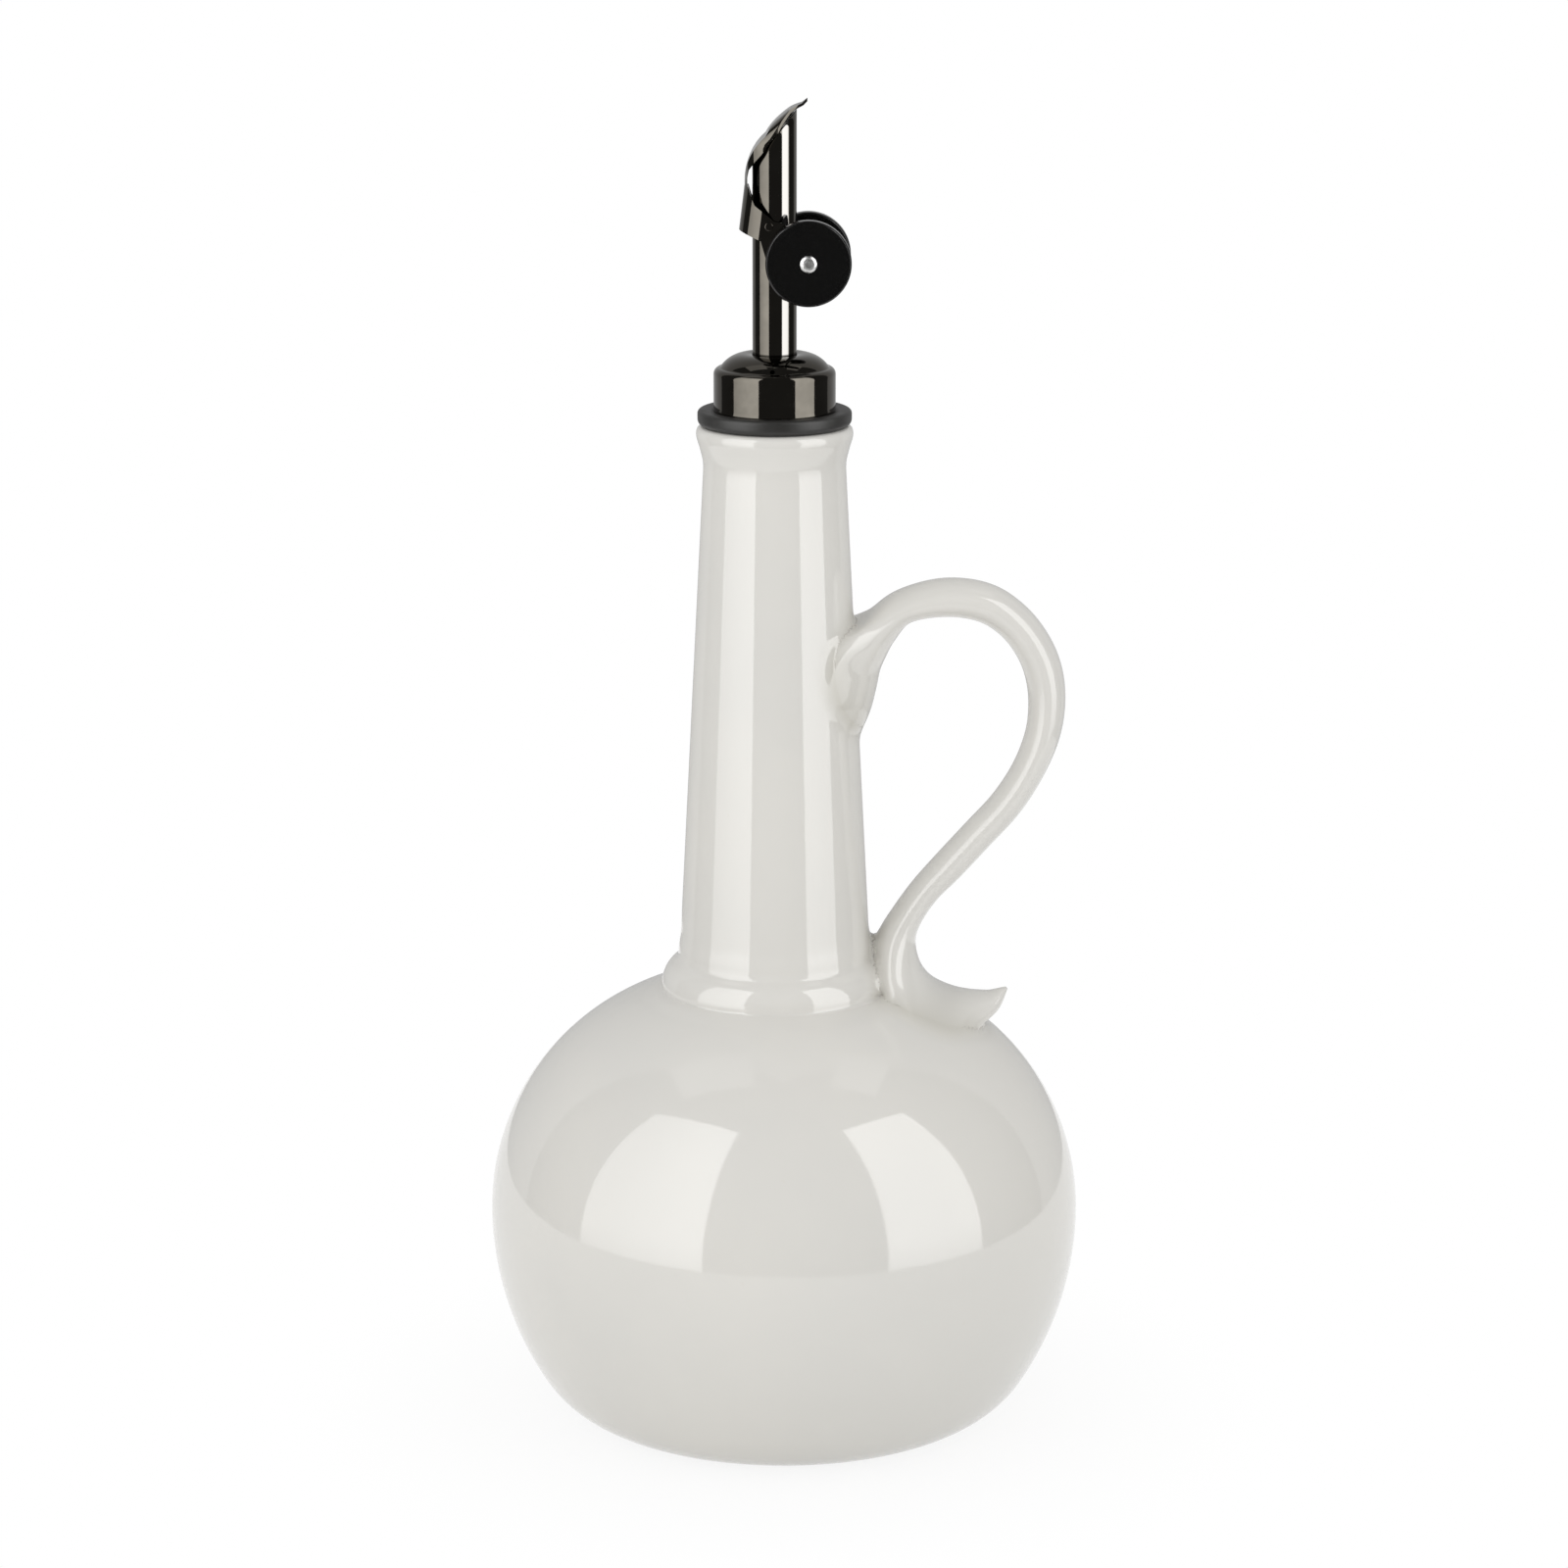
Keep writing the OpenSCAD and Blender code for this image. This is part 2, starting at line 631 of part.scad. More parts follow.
// Rivet through both cheeks and both discs, with a low domed head at each end
module weight_rivet() {
    head_r = rivet_head_d / 2;
    dome_r = (pow(head_r, 2) + pow(rivet_head_h, 2)) / (2 * rivet_head_h);
    color(bright_steel) on_pourer() translate([rivet_x, 0, rivet_z]) rotate([90, 0, 0]) {
        translate([0, 0, -weight_out - eps]) cylinder(h = 2 * (weight_out + eps), d = rivet_d);
        for (end = [0, 1]) mirror([0, 0, end]) intersection() {
            translate([0, 0, weight_out + rivet_head_h - dome_r]) sphere(r = dome_r);
            translate([0, 0, weight_out + eps]) cylinder(h = rivet_head_h, r = head_r);
        }
    }
}

bottle();
stopper();
cap();
pour_tube();
air_tube();
hinge_pins();
flap();
front_weight();
rear_weight();
weight_rivet();
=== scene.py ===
"""Looks of the oil cruet: a glazed bottle with a looped side handle and a weighted flip-top pourer.

Sizes are in millimetres in the classes below and become metres where a mesh is made. The frame is the
solid model's: the origin at the centre of the foot, +Z up, +X towards the handle and the pouring nib.
"""
from __future__ import annotations

import logging
import math
from dataclasses import dataclass, field
from enum import Enum

import bmesh
import bpy
import numpy as np
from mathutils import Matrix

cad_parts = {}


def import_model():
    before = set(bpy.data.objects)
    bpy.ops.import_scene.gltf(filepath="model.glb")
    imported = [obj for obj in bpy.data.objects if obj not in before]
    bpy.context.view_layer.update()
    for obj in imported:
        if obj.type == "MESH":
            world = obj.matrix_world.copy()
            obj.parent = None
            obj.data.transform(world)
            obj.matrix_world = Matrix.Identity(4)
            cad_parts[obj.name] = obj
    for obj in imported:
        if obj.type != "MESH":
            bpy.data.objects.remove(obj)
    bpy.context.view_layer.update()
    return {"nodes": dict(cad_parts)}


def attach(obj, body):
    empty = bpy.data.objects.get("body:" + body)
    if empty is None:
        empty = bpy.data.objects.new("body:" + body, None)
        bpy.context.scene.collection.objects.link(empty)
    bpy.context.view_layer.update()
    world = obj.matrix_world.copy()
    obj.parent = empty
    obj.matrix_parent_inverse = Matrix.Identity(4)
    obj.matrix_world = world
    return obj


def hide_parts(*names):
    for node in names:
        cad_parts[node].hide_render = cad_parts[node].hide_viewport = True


LOG = logging.getLogger("oil_cruet")
MM = 0.001
Array = np.ndarray
Colour = tuple[float, float, float]
# Axis along which a glow falls, where it is full, where it is least, and the share that is left there
Fade = tuple[str, float, float, float]
WHITE = (1.0, 1.0, 1.0, 1.0)
FACE = np.array([[0, 1, 2, 3]])


class Body(Enum):
    """Moving bodies of the cruet."""

    BOTTLE = "bottle"
    POURER = "pourer"
    FLAP = "flap"
    WEIGHTS = "weights"


class Slot(Enum):
    """Material slots of the record."""

    GLAZE = "glaze"
    RUBBER = "black_rubber"
    METAL = "gunmetal"
    PLASTIC = "black_plastic"
    STEEL = "bright_steel"


class Ends(Enum):
    """How the rows of a grid of points end."""

    RING = "the last row joins the first one"
    POLES = "the first and the last row close in their middles"


class Side(Enum):
    """Side of the cruet, as the sign of Y."""

    FRONT = -1
    REAR = 1


# Shader graphs


class Value:
    """A socket in a shader graph, with arithmetic that adds Math nodes."""

    def __init__(self, graph: Graph, socket: bpy.types.NodeSocket) -> None:
        """Wraps a socket of a graph."""
        self.graph = graph
        self.socket = socket

    def __add__(self, other: Value | float) -> Value:
        """Sum."""
        return self.graph.math("ADD", self, other)

    def __radd__(self, other: float) -> Value:
        """Sum with a number on the left."""
        return self.graph.math("ADD", other, self)

    def __sub__(self, other: Value | float) -> Value:
        """Difference."""
        return self.graph.math("SUBTRACT", self, other)

    def __rsub__(self, other: float) -> Value:
        """Difference with a number on the left."""
        return self.graph.math("SUBTRACT", other, self)

    def __mul__(self, other: Value | float) -> Value:
        """Product."""
        return self.graph.math("MULTIPLY", self, other)

    def __pow__(self, other: float) -> Value:
        """Power."""
        return self.graph.math("POWER", self, other)


class Graph:
    """Nodes of one material or of the world."""

    def __init__(self, tree: bpy.types.NodeTree) -> None:
        """Empties the tree and takes it over."""
        self.tree = tree
        tree.nodes.clear()

    def node(
        self, kind: str, settings: dict | None = None, inputs: dict | None = None, output: int | str = 0
    ) -> Value:
        """Adds a node.

        Args:
            kind: type of the node.
            settings: properties that are set first.
            inputs: values or links of the sockets, by name or number.
            output: the output that is returned.

        Returns:
            The wrapped output, or the node's first input if it has no output.
        """
        made = self.tree.nodes.new(kind)
        for name, value in (settings or {}).items():
            setattr(made, name, value)
        for name, value in (inputs or {}).items():
            if isinstance(value, Value):
                self.tree.links.new(value.socket, made.inputs[name])
            else:
                made.inputs[name].default_value = value
        sockets = made.outputs if made.outputs else made.inputs
        return Value(self, sockets[output])

    def math(self, operation: str, *terms: Value | float) -> Value:
        """Adds a Math node on one, two or three terms."""
        return self.node("ShaderNodeMath", {"operation": operation}, dict(enumerate(terms)))

    def place(self) -> Value:
        """Object coordinates, in metres in the cruet's frame."""
        return self.node("ShaderNodeTexCoord", output="Object")

    def axis(self, name: str) -> Value:
        """One of the object coordinates X, Y or Z."""
        return self.node("ShaderNodeSeparateXYZ", inputs={0: self.place()}, output=name)

    def noise(self, size: float, detail: float = 2.0) -> Value:
        """Soft noise from 0 to 1 whose blotches are about this many millimetres wide."""
        inputs = {"Vector": self.place(), "Scale": 1.0 / (size * MM), "Detail": detail}
        return self.node("ShaderNodeTexNoise", inputs=inputs)

    def step(self, value: Value, low: float, high: float) -> Value:
        """Rises smoothly from 0 at low to 1 at high."""
        inputs = {"Value": value, "From Min": low, "From Max": high}
        return self.node("ShaderNodeMapRange", {"interpolation_type": "SMOOTHSTEP"}, inputs)

    def blend(self, share: Value, first: Value | Colour, second: Value | Colour) -> Value:
        """Mixes two colours by a share from 0 to 1."""
        shades = {6 + i: c if isinstance(c, Value) else (*c, 1.0) for i, c in enumerate((first, second))}
        return self.node("ShaderNodeMix", {"data_type": "RGBA"}, {0: share, **shades}, output=2)

    def bump(self, height: Value, depth: float) -> Value:
        """Normal that is tilted by a height from 0 to 1 of this many millimetres."""
        inputs = {"Height": height, "Strength": 1.0, "Distance": depth * MM}
        return self.node("ShaderNodeBump", inputs=inputs)

    def seen(self) -> Value:
        """1 for rays from the camera, off gloss or through glass, and 0 for the others."""
        path = self.tree.nodes.new("ShaderNodeLightPath")
        names = ("Is Camera Ray", "Is Glossy Ray", "Is Transmission Ray")
        camera, gloss, glass = (Value(self, path.outputs[name]) for name in names)
        return self.math("MINIMUM", camera + gloss + glass, 1.0)

    def surface(self, shader: Value) -> None:
        """Puts a shader on the output of a material or of the world."""
        world = isinstance(self.tree.id_data, bpy.types.World)
        kind = "ShaderNodeOutputWorld" if world else "ShaderNodeOutputMaterial"
        self.node(kind, inputs={"Surface": shader})


def new_material(name: str) -> tuple[bpy.types.Material, Graph]:
    """Makes a material with an empty graph."""
    material = bpy.data.materials.new(name)
    material.use_nodes = True
    return material, Graph(material.node_tree)


# Finishes


@dataclass(frozen=True)
class Glaze:
    """Glossy ivory glaze with soft waves and faint clouds, darker and greener in the creases at the handle's
    roots as pooled glaze and painted shade, and a bare foot ring.
    """

    ivory: Colour = (0.705, 0.690, 0.652)
    cloud: Colour = (0.680, 0.668, 0.635)
    pooled_and_shaded: Colour = (0.405, 0.385, 0.315)
    biscuit: Colour = (0.62, 0.54, 0.42)
    gloss: float = 0.055
    ior: float = 1.53
    wave_h: float = 0.05

    def material(self) -> bpy.types.Material:
        """Builds the material.

        Returns:
            The glaze, which reads a point attribute that marks the creases at the handle's roots, where it
            paints shade.
        """
        material, g = new_material("ivory_glaze")
        clouds = g.step(g.noise(42.0, 3.0), 0.35, 0.7)
        grain = g.noise(1.1, 2.0)
        pooled_and_shaded = g.node("ShaderNodeAttribute", {"attribute_name": "pooled_and_shaded"}, output="Fac")
        bare = 1.0 - g.step(g.axis("Z"), 0.4 * MM, 0.9 * MM)
        shade = g.blend(clouds, self.ivory, self.cloud)
        # Painted shade: darker, greener glaze in the creases at the handle's roots, partly pooled glaze
        shade = g.blend(pooled_and_shaded * 0.45, shade, self.pooled_and_shaded)
        shade = g.blend(g.step(grain, 0.70, 0.82) * 0.10, shade, self.biscuit)
        shade = g.blend(bare, shade, self.biscuit)
        waves = g.noise(21.0, 1.0) * 0.75 + g.noise(5.5, 1.0) * 0.2 + grain * 0.012
        g.surface(g.node("ShaderNodeBsdfPrincipled", inputs={
            "Base Color": shade,
            "Roughness": self.gloss + clouds * 0.015 + bare * 0.6,
            "IOR": self.ior,
            "Normal": g.bump(waves, self.wave_h),
        }))
        return material


@dataclass(frozen=True)
class BlackNickel:
    """Polished black nickel: a dark mirror with a warm cast and the faintest haze."""

    name: str = "black_nickel"
    shade: Colour = (0.079, 0.073, 0.0625)
    haze: float = 0.045
    smear: float = 1.18
    # Painted highlight: between these places along X the metal is brighter, where a soft box's streak is
    # painted
    highlight_band: tuple[float, float] | None = None
    highlight_edge: float = 0.15
    highlight_colour: Colour = (0.27, 0.262, 0.25)

    def material(self) -> bpy.types.Material:
        """Builds the material, with a painted highlight where two places along X are given: a brighter band
        between them.
        """
        material, g = new_material(self.name)
        smears = g.step(g.noise(3.2, 3.0), 0.4, 0.75)
        shade = g.blend(smears, self.shade, tuple(self.smear * c for c in self.shade))
        # Painted highlight: a soft box's bright streak in the base colour
        if self.highlight_band is not None:
            x, soft = g.axis("X"), self.highlight_edge
            past_low, past_high = (g.step(x, (edge - soft) * MM, (edge + soft) * MM) for edge in self.highlight_band)
            shade = g.blend(past_low * (1.0 - past_high), shade, self.highlight_colour)
        g.surface(g.node("ShaderNodeBsdfPrincipled", inputs={
            "Base Color": shade,
            "Metallic": 1.0,
            "Roughness": self.haze + smears * 0.03,
            "Normal": g.bump(g.noise(2.4, 1.0), 0.004),
        }))
        return material


@dataclass(frozen=True)
class Rubber:
    """Satin black rubber with a fine moulded grain."""

    shade: Colour = (0.013, 0.0125, 0.0115)
    dust: Colour = (0.035, 0.034, 0.032)

    def material(self) -> bpy.types.Material:
        """Builds the material."""
        material, g = new_material("satin_rubber")
        grain = g.noise(0.35, 3.0)
        worn = g.step(g.noise(5.0, 3.0), 0.5, 0.8)
        g.surface(g.node("ShaderNodeBsdfPrincipled", inputs={
            "Base Color": g.blend(worn * 0.5, self.shade, self.dust),
            "Roughness": 0.44 + worn * 0.12,
            "IOR": 1.5,
            "Normal": g.bump(grain, 0.012),
        }))
        return material


@dataclass(frozen=True)
class DiscPlastic:
    """Smooth black plastic of the weights."""

    shade: Colour = (0.0015, 0.0015, 0.0014)
    worn: Colour = (0.0035, 0.0034, 0.0032)

    def material(self) -> bpy.types.Material:
        """Builds the material."""
        material, g = new_material("disc_plastic")
        grain = g.noise(0.5, 3.0)
        g.surface(g.node("ShaderNodeBsdfPrincipled", inputs={
            "Base Color": g.blend(g.step(grain, 0.45, 0.8), self.shade, self.worn),
            "Roughness": 0.16 + grain * 0.06,
            "IOR": 1.5,
            "Normal": g.bump(grain, 0.0015),
        }))
        return material


@dataclass(frozen=True)
class RivetSteel:
    """Bright steel with fine turning rings round the rivet's axis."""

    middle: tuple[float, float]
    shade: Colour = (0.72, 0.72, 0.71)
    worn: Colour = (0.6, 0.6, 0.59)
    ring: float = 0.16

    def material(self) -> bpy.types.Material:
        """Builds the material."""
        material, g = new_material("rivet_steel")
        off = (g.axis("X") - self.middle[0]) ** 2.0 + (g.axis("Z") - self.middle[1]) ** 2.0
        rings = g.math("SINE", g.math("SQRT", off) * (2.0 * math.pi / (self.ring * MM)))
        g.surface(g.node("ShaderNodeBsdfPrincipled", inputs={
            "Base Color": g.blend(g.step(g.noise(0.8), 0.4, 0.7), self.shade, self.worn),
            "Metallic": 1.0,
            "Roughness": 0.32 + rings * 0.02,
            "Normal": g.bump(rings * 0.5 + 0.5, 0.001),
        }))
        return material


# Lines, grids and skins


def arc(middle: tuple[float, float], radius: float, start: float, end: float, steps: int = 24) -> Array:
    """Points of a circle's arc, at middle + radius [cos a, sin a].

    Args:
        middle: the circle's middle.
        radius: its radius.
        start: first angle, in degrees.
        end: last angle, in degrees.
        steps: number of points.

    Returns:
        The points, one a row.
    """
    a = np.radians(np.linspace(start, end, steps))
    return np.stack([middle[0] + radius * np.cos(a), middle[1] + radius * np.sin(a)], axis=-1)


def along(line: Array) -> Array:
    """Distance from the start of a line to each of its points: the running sum of its steps."""
    return np.concatenate([[0.0], np.cumsum(np.linalg.norm(np.diff(line, axis=0), axis=-1))])


def resample(line: Array, step: Array | float) -> Array:
    """Spaces a line's points anew.

    The number of steps up to a point is the integral of 1 / step along the line, and the new points stand
    where that number is whole.

    Args:
        line: the points, with any number of columns.
        step: the wished spacing at each point, or everywhere.

    Returns:
        The new points, the first and last as they were.
    """
    run = along(line[:, :2])
    pace = 1.0 / np.broadcast_to(step, run.shape)
    count = np.concatenate([[0.0], np.cumsum(np.diff(run) * (pace[1:] + pace[:-1]) / 2)])
    stops = np.linspace(0.0, count[-1], max(int(round(count[-1])), 2) + 1)
    return np.stack([np.interp(stops, count, column) for column in line.T], axis=-1)


def soften(line: Array, reach: float) -> Array:
    """Rounds a line's corners.

    Each point becomes the mean of its neighbours along the line, weighted by a bell curve of the given
    reach; beyond its ends the line is taken to run on straight.

    Args:
        line: points at even spacing.
        reach: half width of the bell curve.

    Returns:
        As many points, the first and last as they were.
    """
    step = along(line[:, :2])[-1] / (len(line) - 1)
    half = int(math.ceil(3.0 * reach / step))
    bell = np.exp(-0.5 * (np.arange(-half, half + 1) * step / reach) ** 2)
    bell /= bell.sum()
    before = 2.0 * line[0] - line[half:0:-1]
    after = 2.0 * line[-1] - line[-2:-half - 2:-1]
    padded = np.vstack([before, line, after])
    return np.stack([np.convolve(column, bell, mode="valid") for column in padded.T], axis=-1)


def rounded(corners: list[tuple[float, float, float]], steps: int = 7, closed: bool = True) -> Array:
    """Rounds each corner of a line with an arc that touches both of its sides.

    The arc's middle lies on the corner's bisector, and its angle runs evenly from side to side. The radius is
    cut down where a side is too short for it.

    Args:
        corners: X, Y and radius of each corner.
        steps: points on each arc.
        closed: whether the last corner joins the first.

    Returns:
        The points of the rounded line.
    """
    data = np.array(corners, float)
    point, radius = data[:, :2], data[:, 2].copy()
    back, ahead = np.roll(point, 1, axis=0) - point, np.roll(point, -1, axis=0) - point
    long_back, long_ahead = np.linalg.norm(back, axis=1), np.linalg.norm(ahead, axis=1)
    u, w = back / long_back[:, None], ahead / long_ahead[:, None]
    half = np.arccos(np.clip((u * w).sum(axis=1), -1.0, 1.0)) / 2
    if not closed:
        radius[[0, -1]] = 0.0
    straight = math.radians(89.5)
    slope = np.tan(np.minimum(half, straight))
    side = np.where(half > straight, 0.0, radius / slope)
    side = np.minimum(side, 0.48 * np.minimum(long_back, long_ahead))
    true_radius = side * slope
    bisector = u + w
    bisector /= np.maximum(np.linalg.norm(bisector, axis=1), 1e-9)[:, None]
    inset = np.where(side > 0, true_radius / np.sin(np.maximum(half, 1e-3)), 0.0)
    middle = point + bisector * inset[:, None]
    first, last = point + u * side[:, None] - middle, point + w * side[:, None] - middle
    start = np.arctan2(first[:, 1], first[:, 0])
    turn = (np.arctan2(last[:, 1], last[:, 0]) - start + math.pi) % (2 * math.pi) - math.pi
    angle = start[:, None] + turn[:, None] * np.linspace(0.0, 1.0, steps)
    curve = middle[:, None] + true_radius[:, None, None] * np.stack([np.cos(angle), np.sin(angle)], axis=-1)
    line = np.where((side > 1e-6)[:, None, None], curve, point[:, None]).reshape(-1, 2)
    keep = np.concatenate([[True], np.linalg.norm(np.diff(line, axis=0), axis=1) > 1e-5])
    return line[keep]


def lathe(line: Array, sides: int, shift: Array | float = 0.0, crowd: float = 0.0) -> Array:
    """Turns a line of [radius, height] round an upright axis.

    Point (i, j) is (shift_i + r_i cos a_j, r_i sin a_j, z_i). The angle is a_j = 2 pi v - crowd sin 2 pi v,
    for v from 0 to 1, so that the sides crowd towards +X.

    Args:
        line: the outline.
        sides: number of columns.
        shift: X of the axis, for each point or for all.
        crowd: how much closer the columns stand near +X, from 0 to 1.

    Returns:
        The grid of points.
    """
    v = 2 * math.pi * np.arange(sides) / sides
    a = v - crowd * np.sin(v)
    r, z = line[:, 0, None], line[:, 1, None]
    x = np.broadcast_to(shift, line.shape[:1])[:, None] + r * np.cos(a)
    return np.stack([x, r * np.sin(a), np.broadcast_to(z, x.shape)], axis=-1)


def outward(grid: Array) -> Array:
    """Unit normals of a grid: the cross product of its two directions, turned so that they point out."""
    down = np.gradient(grid, axis=0)
    across = (np.roll(grid, -1, axis=1) - np.roll(grid, 1, axis=1)) / 2
    normal = np.cross(across, down)
    middle = grid.reshape(-1, 3).mean(axis=0)
    if ((grid - middle) * normal).sum() < 0:
        normal = -normal
    return normal / np.maximum(np.linalg.norm(normal, axis=-1), 1e-12)[..., None]


def skin(
    name: str, grid: Array, ends: Ends = Ends.RING, marks: dict[str, Array] | None = None
) -> bpy.types.Object:
    """Covers a grid of points with four-sided faces, and closes it.

    Face (i, j) joins points (i, j), (i, j + 1), (i + 1, j + 1) and (i + 1, j); the columns always close on
    themselves. The faces are turned to give the shape a positive volume.

    Args:
        name: the object's name.
        grid: the points, in millimetres.
        ends: how the rows end.
        marks: numbers for each point, kept as attributes.

    Returns:
        The object, at the origin.
    """
    rows, columns = grid.shape[:2]
    index = np.arange(rows * columns).reshape(rows, columns)
    low = index if ends is Ends.RING else index[:-1]
    high = np.roll(index, -1, axis=0) if ends is Ends.RING else index[1:]
    corners = [low, np.roll(low, -1, axis=1), np.roll(high, -1, axis=1), high]
    quads = np.stack(corners, axis=-1).reshape(-1, 4)
    points = grid.reshape(-1, 3)
    fans = np.empty((0, 3), int)
    if ends is Ends.POLES:
        points = np.vstack([points, grid[0].mean(axis=0), grid[-1].mean(axis=0)])
        first, last = (np.full(columns, rows * columns + k) for k in (0, 1))
        fans = np.vstack([
            np.stack([first, np.roll(index[0], -1), index[0]], axis=-1),
            np.stack([last, index[-1], np.roll(index[-1], -1)], axis=-1),
        ])
    a, b, c, d = (points[quads[:, k]] for k in range(4))
    volume = (a * np.cross(b, c)).sum() + (a * np.cross(c, d)).sum()
    if len(fans):
        volume += (points[fans[:, 0]] * np.cross(points[fans[:, 1]], points[fans[:, 2]])).sum()
    if volume < 0:
        quads, fans = quads[:, ::-1], fans[:, ::-1]
    mesh = bpy.data.meshes.new(name)
    mesh.from_pydata((points * MM).tolist(), [], quads.tolist() + fans.tolist())
    mesh.shade_smooth()
    for mark, values in (marks or {}).items():
        flat = np.zeros(len(points), np.float32)
        flat[:rows * columns] = values.ravel()
        mesh.attributes.new(mark, "FLOAT", "POINT").data.foreach_set("value", flat)
    made = bpy.data.objects.new(name, mesh)
    bpy.context.scene.collection.objects.link(made)
    return made


def join(name: str, parts: list[bpy.types.Object]) -> bpy.types.Object:
    """Joins objects into the first one, which gets the name."""
    with bpy.context.temp_override(active_object=parts[0], selected_editable_objects=parts):
        bpy.ops.object.join()
    parts[0].name = parts[0].data.name = name
    return parts[0]


def settle(piece: bpy.types.Object) -> None:
    """Applies an object's modifiers, smooths its faces and keeps its edges over 50 degrees sharp."""
    bpy.context.view_layer.update()
    done = bpy.data.meshes.new_from_object(piece.evaluated_get(bpy.context.evaluated_depsgraph_get()))
    piece.modifiers.clear()
    piece.data = done
    done.shade_smooth()
    done.set_sharp_from_angle(angle=math.radians(50.0))


def merged_copy(node: bpy.types.Object, name: str, bevel: float) -> bpy.types.Object:
    """Copies a CAD node, merges its loose triangles and gives its edges a small round.

    Args:
        node: the CAD node's object.
        name: the copy's name.
        bevel: width of the round, in millimetres.

    Returns:
        The copy, whose flat faces keep their normals up to the rounds.
    """
    mesh = bpy.data.meshes.new(name)
    work = bmesh.new()
    work.from_mesh(node.data)
    bmesh.ops.remove_doubles(work, verts=work.verts, dist=0.004 * MM)
    bmesh.ops.dissolve_limit(work, angle_limit=math.radians(0.8), verts=work.verts, edges=work.edges)
    work.to_mesh(mesh)
    work.free()
    made = bpy.data.objects.new(name, mesh)
    bpy.context.scene.collection.objects.link(made)
    modifier = made.modifiers.new("edge", "BEVEL")
    modifier.width = bevel * MM
    modifier.segments = 3
    modifier.limit_method = "ANGLE"
    modifier.angle_limit = math.radians(35.0)
    modifier.use_clamp_overlap = True
    settle(made)
    flats = made.modifiers.new("flats", "WEIGHTED_NORMAL")
    flats.mode = "FACE_AREA_WITH_ANGLE"
    flats.keep_sharp = True
    return made


def dress(
    piece: bpy.types.Object, finish: bpy.types.Material, body: Body, slot: Slot, *nodes: str
) -> None:
    """Gives a piece its material and its body, and hides the nodes that it stands for."""
    piece.data.materials.clear()
    piece.data.materials.append(finish)
    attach(piece, body.value)
    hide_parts(*nodes)
    LOG.info("%s: %d faces on %s", piece.name, len(piece.data.polygons), body.value)


# Bottle


@dataclass(frozen=True)
class Melt:
    """Soft join of two glazed surfaces.

    With a and b the distances from the two, and k the reach, the joined surface lies where
    min(a, b) - max(k - |a - b|, 0)^2 / 4k is nothing. Both grids are lifted onto it. Past the crest, where
    a = b, a grid runs on a little below the other one, and then dives.
    """

    reach: float = 2.7
    limit: float = 0.45
    sink: float = 0.05
    dive: float = 0.3
    # Width of the painted shade in the creases, which also bounds the points that are melted
    pool: float = 4.5
    softness: float = 0.8

    @property
    def dive_gap(self) -> float:
        """Distance from the other surface at which the lift comes to its limit and the dive starts."""
        return (1 - math.sqrt(self.limit)) ** 2 * self.reach

    def depth(self, own: Array, other: Array) -> Array:
        """Height of points over the joined surface, from their distances to both surfaces."""
        k = self.reach
        return np.minimum(own, other) - np.clip(k - np.abs(own - other), 0.0, None) ** 2 / (4 * k)

    def lift(self, other: Array, lean: Array) -> Array:
        """How far points of one surface move out to lie on the joined one.

        Args:
            other: distance of each point from the other surface, negative inside it.
            lean: how fast that distance grows as the point moves out.

        Returns:
            The lift of each point, found by halving.
        """
        most = self.limit * self.reach
        low, high = np.zeros_like(other), np.full_like(other, most)
        for _ in range(20):
            mid = (low + high) / 2
            under = self.depth(mid, other + lean * mid) < 0
            low, high = np.where(under, mid, low), np.where(under, high, mid)
        buried = self.depth(most, other + lean * most) < 0
        meeting = self.dive_gap - most * lean
        dive = most * np.clip(1 - (meeting - other) / (self.dive * self.reach), 0.0, 1.0)
        return np.where(buried, dive, high) * (other < self.reach)

    def tuck(self, own: Array, other: Array, normal: Array, direction: Array) -> Array:
        """How points past the crest move down, below the other grid.

        The joined surface's normal goes by n_a / sqrt a + n_b / sqrt b. A point sinks along it by the square
        of its share of the way from the crest to the dive.

        Args:
            own: distance of each point from its own surface.
            other: distance from the other surface.
            normal: normal of its own surface.
            direction: direction in which the other distance grows.

        Returns:
            The moves.
        """
        way = np.clip((own - other) / (self.limit * self.reach - self.dive_gap), 0.0, 1.0)
        terms = ((normal, own), (direction, other))
        steep = sum(leaning / np.sqrt(np.maximum(apart, 0.02))[:, None] for leaning, apart in terms)
        steep /= np.maximum(np.linalg.norm(steep, axis=1), 1e-9)[:, None]
        return -self.sink * way[:, None] ** 2 * steep


def field_of(points: Array, samples: Array, normals: Array, softness: float) -> tuple[Array, Array]:
    """Signed distance of points from a sampled surface, and its direction.

    Samples are weighted by 1 / (1 + (d^2 - nearest d^2) / softness^2)^4. The distance is the weighted mean
    of the heights over their tangent planes.

    Args:
        points: where the distance is wanted.
        samples: points of the surface.
        normals: its outward unit normals there.
        softness: width of the weighting.

    Returns:
        The distances and the unit directions in which they grow.
    """
    distances, directions = [], []
    heights = (samples * normals).sum(axis=1)
    squares = (samples ** 2).sum(axis=1)
    for part in np.array_split(points, max(len(points) // 400, 1)):
        apart = squares - 2 * part @ samples.T
        weight = 1 + (apart - apart.min(axis=1)[:, None]) / softness ** 2
        weight *= weight
        weight = 1 / (weight * weight)
        weight /= weight.sum(axis=1)[:, None]
        normal = weight @ normals
        distances.append((part * normal).sum(axis=1) - weight @ heights)
        directions.append(normal / np.maximum(np.linalg.norm(normal, axis=1), 1e-9)[:, None])
    return np.concatenate(distances), np.vstack(directions)


